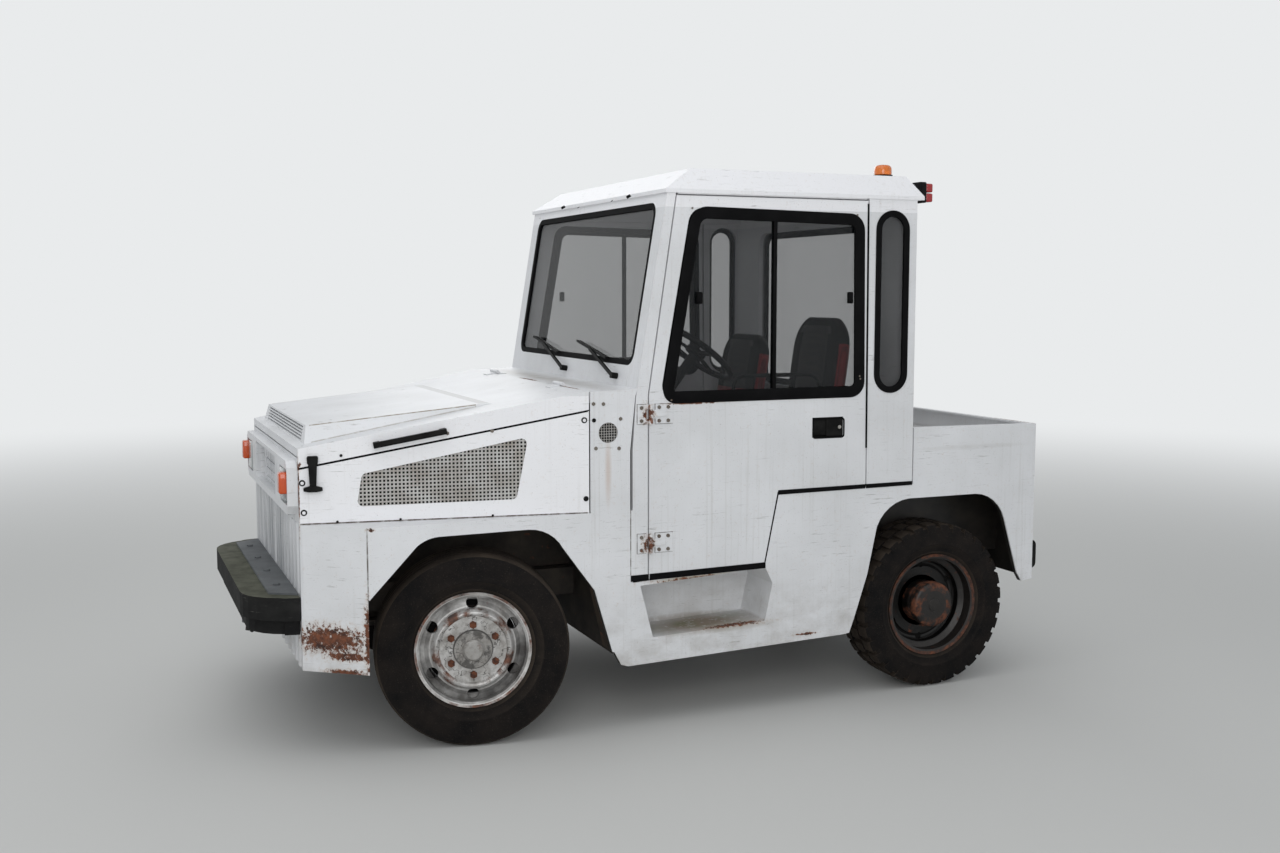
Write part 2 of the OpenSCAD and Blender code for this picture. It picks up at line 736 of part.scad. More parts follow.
module cab_floor() color("#5c5f60") at_axle() {
    inner = half_w - wall;
    plate_xz(-inner, inner) polygon([
        [pillar_x - sheet, rail_top_z], [pillar_x, rail_top_z], [pillar_x, cowl_under(pillar_x)],
        [pillar_x - sheet, cowl_under(pillar_x - sheet)]]);
    block([riser_x, -inner, floor_z - 12], [pillar_x - sheet, inner, floor_z]);
    block([riser_x - sheet, -inner, floor_z - 12], [riser_x, inner, notch_z + 8]);
    block([cab_rear_x, -inner, notch_z], [riser_x - sheet, inner, notch_z + 8]);
    block([cab_rear_x, -half_w + 2, notch_z], [door_rear_x - 8, half_w - 2, notch_z + 8]);
    // Pads and posts on the frame rails
    for (side = [-1, 1]) {
        block([riser_x, side * rail_y - 25, rail_top_z],
            [pillar_x - sheet, side * rail_y + 25, floor_z - 12]);
        for (x = [-1480, -1960])
            block([x - 25, side * rail_y - 25, rail_top_z], [x + 25, side * rail_y + 25, notch_z]);
    }
}

// Roof: a hipped shell with a drip lip outside the walls
roof_front_x = -784;
roof_back_x = -2036;
roof_half = half_w + roof_out;

module hip(lift, inset) {
    intersection() {
        plate_xz(-half_w - 60, half_w + 60) polygon([
            [roof_front_x - inset, roof_low_z], [roof_front_x - inset, roof_low_z + 16],
            [roof_front_x - 138 - inset * 0.6, roof_top_z - lift],
                [roof_back_x + 58 + inset * 0.6, roof_top_z - lift],
            [roof_back_x + inset, roof_low_z + 16], [roof_back_x + inset, roof_low_z]]);
        plate_yz(roof_back_x - 10, roof_front_x + 10) polygon([
            [-roof_half + inset, roof_low_z], [-roof_half + inset, roof_low_z + 16],
            [-roof_half + 62 + inset * 0.6, roof_top_z - lift],
                [roof_half - 62 - inset * 0.6, roof_top_z - lift],
            [roof_half - inset, roof_low_z + 16], [roof_half - inset, roof_low_z]]);
    }
}

module roof() color(white) at_axle() {
    difference() {
        hip(0, 0);
        // Hollow inside, open to the cab
        intersection() {
            hip(24, 30);
            block(
                [roof_back_x + 60, wall + 40 - half_w, roof_low_z - 1],
                [front_x(cab_top_z) - wall, half_w - wall - 40, roof_top_z]);
        }
        // Seat on the walls' top, with the lip outside them
        plate_xz(-half_w, half_w) polygon([
            [front_x(roof_low_z - 1), roof_low_z - 1], [front_x(cab_top_z), cab_top_z],
            [cab_rear_x, cab_top_z], [cab_rear_x, roof_low_z - 1]]);
    }
}

// Glass, set back in its openings
glass_set = 10;

module windscreen() color(glass) at_axle() {
    on_screen(glass_set, glass_set + glass_t) screen_outline(0);
}

module cab_glass() color(glass) at_axle() {
    both_sides() plate_xz(half_w - glass_set - glass_t, half_w - glass_set) slot_outline(0);
    plate_yz(cab_rear_x + glass_set, cab_rear_x + glass_set + glass_t) rounded(window_r) polygon([
        [-rear_window_half, rear_window_low], [rear_window_half, rear_window_low],
        [rear_window_half, rear_window_top], [-rear_window_half, rear_window_top]]);
}

// Steering wheel and column
column_x = -1140;
column_y = 400;
column_z = 1545;
column_tilt = -38;
column_r = 22;
column_l = 380;
steering_r = 205;

module at_column() {
    translate([column_x, column_y, column_z]) rotate([0, column_tilt, 0]) children();
}

module column() {
    at_column() translate([0, 0, -column_l]) cylinder(r = column_r, h = column_l - 10);
}

module steering_wheel() color(black) at_axle() {
    at_column() {
        rotate_extrude() translate([steering_r - 14, 0]) circle(r = 14, $fn = 24);
        cylinder(r = 48, h = 24, center = true);
        for (i = [0 : 2]) rotate([0, 0, 90 + i * 120]) block([40, -12, -6], [steering_r - 20, 12, 4]);
    }
    column();
}

// Dashboard under the windscreen, which takes the column's foot
module dashboard() color(black) at_axle() {
    half = half_w - wall - 20;
    difference() {
        plate_xz(-half, half) polygon([
            [pillar_x - sheet, 1100], [pillar_x - sheet, cab_low_z],
                [front_x(cab_low_z) - wall - 6, cab_low_z],
            [-760, cab_low_z + 8], [-905, cab_low_z - 23], [-940, cab_low_z - 95], [-880, 1180],
                [-780, 1100]]);
        column();
    }
}

// Seats on the raised floor
seat_x = -1560;
seat_w = 470;
seat_base_z = 968;
seat_y = half_w - 470;

module seat(y, back_top) {
    translate([seat_x, y, 0]) {
        block([-200, -170, seat_base_z], [180, 170, seat_base_z + 110]);
        plate_xz(-seat_w / 2, seat_w / 2) rounded(38) polygon([
            [-250, seat_base_z + 110], [250, seat_base_z + 110], [262, seat_base_z + 225],
                [-205, seat_base_z + 205]]);
        plate_xz(-seat_w / 2 + 15, seat_w / 2 - 15) rounded(38) polygon([
            [-250, seat_base_z + 170], [-130, seat_base_z + 170], [-205, back_top], [-295, back_top]]);
    }
}

module driver_seat() color(black) at_axle() seat(seat_y, seat_base_z + 732);
module passenger_seat() color(black) at_axle() seat(-seat_y, seat_base_z + 632);

// Lights on the roof and behind it
beacon_x = -1932;
beacon_y = half_w - 170;
module beacon() color("#e07818") at_axle() translate([beacon_x, beacon_y, roof_top_z]) {
    cylinder(r = 46, h = 14);
    translate([0, 0, 14]) cylinder(r = 40, h = 34);
    translate([0, 0, 48]) cylinder(r1 = 40, r2 = 26, h = 12);
}

tail_lamp_y = half_w - 100;
module tail_lamps() color("#9c1b1b") at_axle() both_sides() {
    block([roof_back_x - 38, tail_lamp_y - 70, roof_low_z - 8],
        [roof_back_x, tail_lamp_y + 70, roof_low_z + 84]);
    block([roof_back_x - 74, tail_lamp_y - 66, roof_low_z + 40],
        [roof_back_x - 38, tail_lamp_y + 66, roof_low_z + 78]);
    block([roof_back_x - 74, tail_lamp_y - 66, roof_low_z - 4],
        [roof_back_x - 38, tail_lamp_y + 66, roof_low_z + 34]);
}

// Wipers parked along the foot of the windscreen: pivot, arm and blade
wiper_pivots = [620, -20];
wiper_z = 1462;
module wipers() color(black) at_axle() for (y = wiper_pivots)
    translate([front_x(wiper_z), y, wiper_z]) rotate([0, -atan(screen_rake), 0]) {
        rotate([0, 90, 0]) cylinder(r = 13, h = 30);
        translate([20, 0, 0]) rotate([-18, 0, 0]) block([0, -330, -7], [9, 0, 7]);
        rotate([-18, 0, 0]) translate([0, -330, 0]) rotate([9, 0, 0]) block([0, -190, -5], [22, 200, 5]);
    }

// Hood lid: a sloping sheet with side flanges and a raised scoop that dies into it towards the rear
lid_t = 5;
lip_h = 32;

module hood_prism(inset, top_drop) {
    intersection() {
        plate_xz(-half_w, half_w) polygon([
            [face_x - inset, hood_front_z - flange_h], [face_x - inset, hood_front_z - top_drop],
            [hood_x + inset, hood_rear_z - top_drop], [hood_x + inset, hood_rear_z - flange_h]]);
        translate([0, 0, 900]) linear_extrude(600) polygon([
            [face_x, face_half - inset], [hood_x, half_w - inset], [hood_x, -half_w + inset],
                [face_x, -face_half + inset]]);
    }
}

module scoop_prism(inset, low) {
    half = scoop_half - inset;
    intersection() {
        plate_xz(-scoop_half, scoop_half) polygon([
            [-40 - inset, low], [-66 - inset, scoop_h - inset], [-770, 8 + (inset > 0 ? -12 : 0)],
                [-820, low]]);
        plate_yz(-900, 0) polygon([
            [-half, low], [half, low], [half - 44, scoop_h], [-half + 44, scoop_h]]);
    }
}

module hood_lid() color(white) at_axle() {
    difference() {
        hood_prism(0, 0);
        intersection() {
            hood_prism(lid_t, lid_t);
            block([hood_x - 2, -half_w, 0], [face_x - lid_t, half_w, 2000]);
        }
        // Below the front lip and at the rear the sheet is open
        block([face_x - 2 * lid_t, -face_half + lid_t, 0],
            [face_x + 1, face_half - lid_t, hood_front_z - lip_h]);
        block([hood_x - 1, -half_w + lid_t, 0], [hood_x + lid_t + 1, half_w - lid_t, hood_rear_z - 40]);
        translate([face_x, 0, hood_front_z]) rotate([0, hood_slope, 0]) scoop_prism(lid_t, -20);
    }
    translate([face_x, 0, hood_front_z]) rotate([0, hood_slope, 0]) difference() {
        scoop_prism(0, 0);
        scoop_prism(lid_t, -20);
        for (i = [0 : scoop_slots - 1]) {
            z = 9 + i * (scoop_h - 20) / (scoop_slots - 1);
            block([-90, -scoop_half + 95, z - 3.5], [0, scoop_half - 95, z + 3.5]);
        }
    }
    // Hinge leaves and barrels at the rear edge
    for (y = hood_hinges) difference() {
        union() {
            at_hood_hinge(y - 30) cylinder(r = 8, h = 60);
            translate([hood_x, y - 30, hood_rear_z]) rotate([0, hood_slope, 0]) translate([0, 0, -1])
                cube([46, 60, 6]);
        }
        at_hood_hinge(y - 31) cylinder(r = 4 + running_gap, h = 62);
    }
}

// Grab handles on the flanges and draw latches at the front corners
handle_front = 400;
handle_rear = 115;
latch_x = 628;

module hood_fittings() color(rubber) at_axle() both_sides() {
    translate([face_x, face_half, 0]) rotate([0, 0, -taper]) {
        front = along_side(handle_front);
        rear = along_side(handle_rear);
        z_front = lid_z(handle_front) - 42;
        z_rear = lid_z(handle_rear) - 42;
        tilt = atan((z_rear - z_front) / (front - rear));
        translate([front, 0, z_front]) rotate([0, tilt, 0]) {
            for (x = [-14, rear - front + 14]) block([x - 12, 0, -11], [x + 12, 32, 11]);
            block([rear - front, 22, -11], [0, 40, 11]);
        }
        // Latch strap and its T grip
        translate([along_side(latch_x), 0, lid_z(latch_x) - 62]) {
            plate_xz(0, 18) rounded(7) polygon([[-22, 24], [22, 24], [20, -8], [-20, -8]]);
            plate_xz(6, 18) rounded(4) polygon([[-17, 0], [17, 0], [12, -104], [-12, -104]]);
            plate_xz(6, 26) rounded(4) polygon([
                [-15, -92], [15, -92], [36, -98], [36, -110], [15, -114], [-15, -114],
                [-36, -110], [-36, -98]]);
        }
    }
}

// Doors
handle_box = [-1486, -1640, 1186, 1274];

module door_sheet() {
    difference() {
        polygon(door_outline);
        rounded(window_r) polygon(door_window);
    }
}

module door() {
    difference() {
        plate_xz(half_w - door_t, half_w) door_sheet();
        // Recess for the handle
        block([handle_box[1], half_w - 22, handle_box[2]], [handle_box[0], half_w + 1, handle_box[3]]);
    }
    block([handle_box[1] + 50, half_w - 22, handle_box[2] + 12],
        [handle_box[0] - 8, half_w - 5, handle_box[3] - 12]);
    for (z = hinge_heights) difference() {
        union() {
            block([hinge_x - 104, half_w, z - hinge_leaf_half],
                [hinge_x - 26, half_w + 6, z + hinge_leaf_half]);
            block([hinge_x - 26, half_w, z - barrel_half], [hinge_x, half_w + 6, z + barrel_half]);
            block([hinge_x - 9, half_w + 3, z - barrel_half], [hinge_x, half_w + hinge_out, z + barrel_half]);
            translate([hinge_x, half_w + hinge_out, z - barrel_half]) cylinder(r = 9, h = 2 * barrel_half);
        }
        translate([hinge_x, half_w + hinge_out, z - hinge_leaf_half - 3])
            cylinder(r = 4.5 + running_gap, h = 2 * hinge_leaf_half + 6);
    }
}

module door_left() color(white) at_axle() door();
module door_right() color(white) at_axle() mirror([0, 1, 0]) door();

bar_x = -1296;
module door_glass() {
    plate_xz(half_w - glass_set - glass_t, half_w - glass_set) rounded(window_r) polygon(door_window);
    plate_xz(half_w - glass_set, half_w) intersection() {
        rounded(window_r) polygon(door_window);
        translate([bar_x - 9, 1300]) square([18, 900]);
    }
}
module door_glass_left() color(glass) at_axle() door_glass();
module door_glass_right() color(glass) at_axle() mirror([0, 1, 0]) door_glass();

// Steering knuckles, turned with the parked wheels
arm_r = 30;
arm_t = 20;
arm_gap = 4;

module parked(side) {
    at_axle() translate([0, side * kingpin_y, axle_beam_z]) rotate([0, 0, -parked_turn]) on_side(side)
        children();
}
module on_side(side) {
    if (side < 0) mirror([0, 1, 0]) children();
    else children();
}

wheel_out = half_track - kingpin_y;
knuckle_face = 56;

module knuckle() {
    for (end = [-1, 1]) {
        low = end > 0 ? eye_half + arm_gap : -eye_half - arm_gap - arm_t;
        translate([0, 0, low]) cylinder(r = arm_r, h = arm_t);
        block([-arm_r, 0, low], [arm_r, knuckle_face, low + arm_t]);
    }
    block([-arm_r, knuckle_face - 14, -eye_half - arm_gap - arm_t],
        [arm_r, knuckle_face, eye_half + arm_gap + arm_t]);
    cylinder(r = kingpin_r, h = 2 * (eye_half + arm_gap + arm_t), center = true);
    translate([0, knuckle_face - 10, 0]) rotate([-90, 0, 0])
        cylinder(r = spindle_r, h = wheel_out + 60 - knuckle_face);
    // The steering arm points back
    block([-170, -12, -eye_half - arm_gap - arm_t], [-arm_r + 6, 14, -eye_half - arm_gap]);
}

module knuckle_left() color(dark_steel) parked(1) knuckle();
module knuckle_right() color(dark_steel) parked(-1) knuckle();

// Wheels: a section is drawn as radius and distance out from the wheel's middle plane
seat_r = rim_r - 13;
barrel_t = 8;
flange_out = 92;
drop_r = rim_r - 37;

module revolve() {
    rotate([-90, 0, 0]) rotate_extrude($fn = 96) children();
}

module barrel() {
    polygon([
        [rim_r, flange_out - 8], [seat_r, flange_out - 16], [seat_r, 32], [drop_r, 18], [drop_r, -40],
            [seat_r, -56],
        [seat_r, 16 - flange_out], [rim_r, 8 - flange_out], [rim_r, -flange_out],
            [seat_r - barrel_t, 6 - flange_out],
        [seat_r - barrel_t, -58], [drop_r - barrel_t, -44], [drop_r - barrel_t, 22], [seat_r - barrel_t, 36],
        [seat_r - barrel_t, flange_out - 6], [rim_r, flange_out]]);
}

hub_r = 78;
// Hand holes in the front discs lie inside the bead seat
hand_holes_r = seat_r - barrel_t - hand_hole_r - 3;
module hub_section(cap_r, face, cap_out) {
    polygon([
        [spindle_r + running_gap, -32], [hub_r, -32], [hub_r, -22], [146, -22], [146, -72], [160, -72],
            [160, -10],
        [hub_r, -10], [hub_r, face], [cap_r, face], [cap_r, cap_out - 8], [cap_r - 8, cap_out],
            [0, cap_out], [0, 54],
        [spindle_r + running_gap, 54]]);
}

module around(count, r, z) {
    for (i = [0 : count - 1]) rotate([0, i * 360 / count, 0]) translate([0, z, r]) rotate([-90, 0, 0])
        children();
}

module rim_front() {
    difference() {
        union() {
            revolve() barrel();
            revolve() hub_section(43, 82, 106);
            // Disc: a conical band with the hand holes rises to a rounded ridge round a flat face
            revolve() polygon([
                [seat_r - barrel_t / 2, 48], [hand_holes_r + 6, 50], [170, 60], [160, 76], [154, 84],
                [148, 86], [141, 83], [135, 76], [hub_r - 8, 74], [hub_r - 8, 66], [138, 66], [146, 72],
                [150, 70],
                [160, 50], [168, 44], [hand_holes_r + 6, 40], [seat_r - barrel_t / 2, 38]]);
        }
        around(studs, hand_holes_r, 37) cylinder(r = hand_hole_r, h = 50, $fn = 32);
    }
    around(studs, stud_circle_r, 74) rotate([0, 0, 30]) cylinder(r = 15, h = 18, $fn = 6);
}

rear_hub_r = 100;
rear_stud_circle_r = 124;
module rim_rear() {
    difference() {
        union() {
            revolve() barrel();
            revolve() hub_section(62, 20, 58);
            // Disc, set deep, and the drum of the hub in front of it
            revolve() polygon([
                [drop_r - barrel_t / 2, -6], [182, -18], [160, -26], [rear_hub_r, -26],
                    [rear_hub_r - 4, 34], [58, 44],
                [58, 20], [hub_r - 2, 20], [hub_r - 2, -36], [158, -36], [178, -30],
                    [drop_r - barrel_t / 2, -20]]);
        }
        around(studs, 172, -60) cylinder(r = hand_hole_r - 8, h = 100, $fn = 32);
    }
    around(studs, rear_stud_circle_r, -26) rotate([0, 0, 30]) cylinder(r = 13, h = 16, $fn = 6);
}

// Tyre section: bead, sidewall, shoulder and a crown with round grooves
module tyre_section(r, grooves) {
    side = tyre_w / 2;
    half = [
        [seat_r + 0.2, flange_out - 16.5], [rim_r + 3, flange_out - 12], [rim_r + 10, side - 22],
            [rim_r + 30, side - 8],
        [rim_r + 62, side], [r - 62, side - 1], [r - 28, side - 8], [r - 8, side - 18], [r, side - 34]];
    difference() {
        polygon(concat(half, [for (i = [len(half) - 1 : -1 : 0]) [half[i][0], -half[i][1]]]));
        for (g = grooves) translate([r - 9, g - 4.5]) square([20, 9]);
    }
}

module tyre(r, grooves) {
    revolve() tyre_section(r, grooves);
}

front_grooves = [-57, -19, 19, 57];

module steered(side) {
    parked(side) translate([0, wheel_out, 0]) children();
}
module driven(side) {
    at_axle() translate([rear_axle_x, side * half_track, rear_tyre_r]) on_side(side) children();
}

module rim_front_left() color(steel) steered(1) rim_front();
module rim_front_right() color(steel) steered(-1) rim_front();
module rim_rear_left() color(dark_steel) driven(1) rim_rear();
module rim_rear_right() color(dark_steel) driven(-1) rim_rear();
module tyre_front_left() color(rubber) steered(1) tyre(front_tyre_r, front_grooves);
module tyre_front_right() color(rubber) steered(-1) tyre(front_tyre_r, front_grooves);
module tyre_rear_left() color(rubber) driven(1) tyre(rear_tyre_r, []);
module tyre_rear_right() color(rubber) driven(-1) tyre(rear_tyre_r, []);

frame_rails();
front_axle();
rear_axle();
engine_block();
skirt_left();
skirt_right();
front_panel();
grille_panel();
front_lamps();
hood_sides();
side_grilles();
cowl();
front_bumper();
front_hitch();
rear_deck();
rear_bumpers();
rear_hitch();
cab_frame();
cab_floor();
roof();
windscreen();
cab_glass();
dashboard();
steering_wheel();
driver_seat();
passenger_seat();
beacon();
tail_lamps();
wipers();
hood_lid();
hood_fittings();
door_left();
door_right();
door_glass_left();
door_glass_right();
knuckle_left();
knuckle_right();
rim_front_left();
rim_front_right();
rim_rear_left();
rim_rear_right();
tyre_front_left();
tyre_front_right();
tyre_rear_left();
tyre_rear_right();
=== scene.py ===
# Airport tow tractor with a closed cab: the looks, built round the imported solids.
import math

import bmesh
import bpy
from mathutils import Matrix, Vector


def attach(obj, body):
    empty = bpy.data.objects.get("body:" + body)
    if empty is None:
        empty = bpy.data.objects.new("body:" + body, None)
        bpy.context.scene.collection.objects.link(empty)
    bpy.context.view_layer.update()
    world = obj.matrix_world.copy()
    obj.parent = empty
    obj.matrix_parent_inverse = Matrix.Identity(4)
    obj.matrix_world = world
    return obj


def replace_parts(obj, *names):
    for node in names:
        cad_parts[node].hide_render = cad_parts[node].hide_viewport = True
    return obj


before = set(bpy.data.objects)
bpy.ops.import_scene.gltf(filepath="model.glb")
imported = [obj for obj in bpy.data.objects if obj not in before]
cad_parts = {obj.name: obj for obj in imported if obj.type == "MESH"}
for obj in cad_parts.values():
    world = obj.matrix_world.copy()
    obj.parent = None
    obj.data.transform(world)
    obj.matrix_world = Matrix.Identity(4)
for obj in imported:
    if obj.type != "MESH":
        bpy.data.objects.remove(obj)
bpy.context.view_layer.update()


# The view and the light.
# The camera stands where the photographer stood, ahead and to the tractor's left, at eye height.
# An even overcast sky and three broad lamps light the tractor, on a pale floor.
camera_data = bpy.data.cameras.new("photo_camera")
camera_data.lens = 37.6
camera_data.sensor_width = 36
camera = bpy.data.objects.new("photo_camera", camera_data)
camera.location = (2.372, 5.906, 1.816)
camera.rotation_mode = "QUATERNION"
camera.rotation_quaternion = Vector((-0.3840, -0.9179, -0.0998)).to_track_quat("-Z", "Y")
bpy.context.scene.collection.objects.link(camera)
bpy.context.scene.camera = camera
bpy.context.scene.view_settings.view_transform = "Standard"


def linear(hex_colour):
    """An sRGB hex colour as linear red, green, blue and alpha."""
    parts = [int(hex_colour[i : i + 2], 16) / 255 for i in (1, 3, 5)]
    return tuple(c / 12.92 if c <= 0.04045 else ((c + 0.055) / 1.055) ** 2.4 for c in parts) + (1.0,)


def set_node(tree, node, settings):
    """Sets a node up. A setting is one of its options, an input's value or an output that feeds the input."""
    for name, value in settings.items():
        if isinstance(value, bpy.types.NodeSocket):
            tree.links.new(value, node.inputs[name])
        elif isinstance(name, str) and hasattr(node, name):
            setattr(node, name, value)
        else:
            node.inputs[name].default_value = value
    return node


def add_node(tree, kind, settings=None):
    """Adds one node to a tree."""
    return set_node(tree, tree.nodes.new("ShaderNode" + kind), settings or {})


def maths(tree, operation, *values):
    """The result of one sum. Each value is a number or a node's output."""
    return add_node(tree, "Math", {"operation": operation, **dict(enumerate(values))}).outputs[0]


world = bpy.data.worlds.new("overcast_sky")
bpy.context.scene.world = world
world.use_nodes = True
sky_tree = world.node_tree
sky_tree.nodes.clear()
rays = add_node(sky_tree, "LightPath").outputs
seen_by_eye = maths(sky_tree, "MAXIMUM", rays["Is Camera Ray"], rays["Is Glossy Ray"])
seen_at_all = maths(sky_tree, "MAXIMUM", seen_by_eye, rays["Is Transmission Ray"])
sky_light = add_node(sky_tree, "Background", {"Color": linear("#eef2f7"), "Strength": 0.53})
sky_seen = add_node(sky_tree, "Background", {"Color": linear("#e9ebec"), "Strength": 1.0})
sky = add_node(sky_tree, "MixShader", {0: seen_at_all, 1: sky_light.outputs[0], 2: sky_seen.outputs[0]})
add_node(sky_tree, "OutputWorld", {"Surface": sky.outputs[0]})

for lamp_name, place, size, power in [
    ("overhead_softbox", (2.0, 1.5, 7.2), 7.0, 146),
    ("left_softbox", (3.0, 8.2, 3.2), 4.5, 205),
    ("right_softbox", (-2.0, -7.5, 4.5), 4.0, 95),
]:
    lamp_data = bpy.data.lights.new(lamp_name, "AREA")
    lamp_data.size = size
    lamp_data.energy = power
    lamp = bpy.data.objects.new(lamp_name, lamp_data)
    lamp.location = place
    lamp.rotation_mode = "QUATERNION"
    lamp.rotation_quaternion = (Vector((0, 0, 0.9)) - Vector(place)).to_track_quat("-Z", "Y")
    bpy.context.scene.collection.objects.link(lamp)

floor_material = bpy.data.materials.new("pale_studio_floor")
floor_material.use_nodes = True
floor_tree = floor_material.node_tree
floor_tree.nodes.clear()
floor_place = add_node(floor_tree, "TexCoord").outputs["Object"]
floor_far = add_node(floor_tree, "VectorMath", {"operation": "LENGTH", 0: floor_place}).outputs["Value"]
floor_fade = add_node(floor_tree, "MapRange", {
    "From Min": 3.5, "From Max": 14.0, "interpolation_type": "SMOOTHSTEP", "Value": floor_far,
})
floor_surface = add_node(floor_tree, "BsdfPrincipled", {"Base Color": linear("#c9c9c6"), "Roughness": 0.75})
floor_bright = add_node(floor_tree, "Emission", {"Color": linear("#e9ebec"), "Strength": 1.0})
floor_mix = add_node(floor_tree, "MixShader", {
    0: floor_fade.outputs[0], 1: floor_surface.outputs[0], 2: floor_bright.outputs[0],
})
add_node(floor_tree, "OutputMaterial", {"Surface": floor_mix.outputs[0]})
floor_bm = bmesh.new()
bmesh.ops.create_grid(floor_bm, x_segments=2, y_segments=2, size=60)
floor_mesh = bpy.data.meshes.new("studio_floor")
floor_bm.to_mesh(floor_mesh)
floor_bm.free()
floor_mesh.materials.append(floor_material)
studio_floor = bpy.data.objects.new("studio_floor", floor_mesh)
bpy.context.scene.collection.objects.link(studio_floor)


# Body sheets and cab.
# Folded and welded steel sheet, sprayed with white enamel by hand, then scuffed by years of loading work.
# Rust comes through along the lower edges, at the hinges and on the front corner that the bumper shields.
FRONT_AXLE_X = 0.935
# The body's sides stand this many millimetres from its middle.
SIDE = 860


def from_axle(x, y, z):
    """A point in millimetres from the front axle's middle, on the ground, as metres in the part's frame."""
    return Vector((FRONT_AXLE_X + x / 1000, y / 1000, z / 1000))


def start_material(name):
    """A new node material with its shader and output. Its node own_place holds the object's coordinates."""
    material = bpy.data.materials.new(name)
    material.use_nodes = True
    tree = material.node_tree
    tree.nodes.clear()
    shader = add_node(tree, "BsdfPrincipled")
    add_node(tree, "OutputMaterial", {"Surface": shader.outputs[0]})
    add_node(tree, "TexCoord", {"name": "own_place"})
    return material, tree, shader


def own_place(tree, kind="Object"):
    """The object's own coordinates, or its faces' own normals."""
    return tree.nodes["own_place"].outputs[kind]


def vector_maths(tree, operation, *values, output="Vector"):
    """The result of one sum with vectors."""
    return add_node(tree, "VectorMath", {"operation": operation, **dict(enumerate(values))}).outputs[output]


def ramp(value, low=0.0, high=1.0, start=0.0, end=1.0):
    """A value turned into a number that runs from start, where it is low, to end, where it is high."""
    ranges = {"From Min": low, "From Max": high, "To Min": start, "To Max": end}
    return add_node(value.id_data, "MapRange", {**ranges, "Value": value}).outputs[0]


def between(value, low, high):
    """1 where a value lies between two numbers, and 0 elsewhere."""
    return maths(value.id_data, "COMPARE", value, (low + high) / 2, (high - low) / 2)


def times(found, *others):
    """A mask multiplied by others, each a mask or a number."""
    for other in others:
        found = maths(found.id_data, "MULTIPLY", found, other)
    return found


def strongest(found, *others):
    """The largest of several masks."""
    for other in others:
        found = maths(found.id_data, "MAXIMUM", found, other)
    return found


def stains(tree, rows):
    """How near a point is to any stain: 1 at its centre and 0 at its reach. Both are in millimetres."""
    masks = []
    for centre, reach in rows:
        shifted = vector_maths(tree, "SUBTRACT", own_place(tree), from_axle(*centre))
        scaled = vector_maths(tree, "DIVIDE", shifted, [part / 1000 for part in reach])
        masks.append(ramp(vector_maths(tree, "LENGTH", scaled, output="Value"), 1.0, 0.25))
    return strongest(*masks)


def grain(tree, scale, detail, roughness=0.5):
    """Even noise with so many waves to the metre."""
    settings = {"Vector": own_place(tree), "Scale": scale, "Detail": detail, "Roughness": roughness}
    return add_node(tree, "TexNoise", settings).outputs[0]


def noise(tree, stretch, low, high, detail=3.0):
    """Noise cut to the part of it between low and high. Its waves to the metre may differ along each axis."""
    scale = stretch if isinstance(stretch, tuple) else (stretch,) * 3
    mapping = add_node(tree, "Mapping", {"Scale": scale, "Vector": own_place(tree)})
    settings = {"Scale": 1.0, "Detail": detail, "Roughness": 0.62, "Vector": mapping.outputs[0]}
    return ramp(add_node(tree, "TexNoise", settings).outputs[0], low, high)


def tinted(amount, under, over):
    """A colour laid over another by amount. Either colour is a hex value or a node's output."""
    under, over = (linear(colour) if isinstance(colour, str) else colour for colour in (under, over))
    return add_node(amount.id_data, "Mix", {"data_type": "RGBA", 0: amount, 6: under, 7: over}).outputs[2]


def laid(colour, over, *masks):
    """A colour with another laid over it, as far as all the masks let it."""
    return tinted(times(*masks), colour, over)


def rust_colours(tree):
    """Red-brown iron rust, patchy from dark scale to orange dust over about 20 mm."""
    return tinted(noise(tree, 46, 0.35, 0.68, 6.0), "#33201a", "#7f4b31")


def bump(height, strength, distance, normal=None):
    """Relief of a strength and a depth in metres, over other relief if there is some."""
    settings = {"Strength": strength, "Distance": distance, "Height": height}
    if normal is not None:
        settings["Normal"] = normal
    return add_node(height.id_data, "Bump", settings).outputs[0]


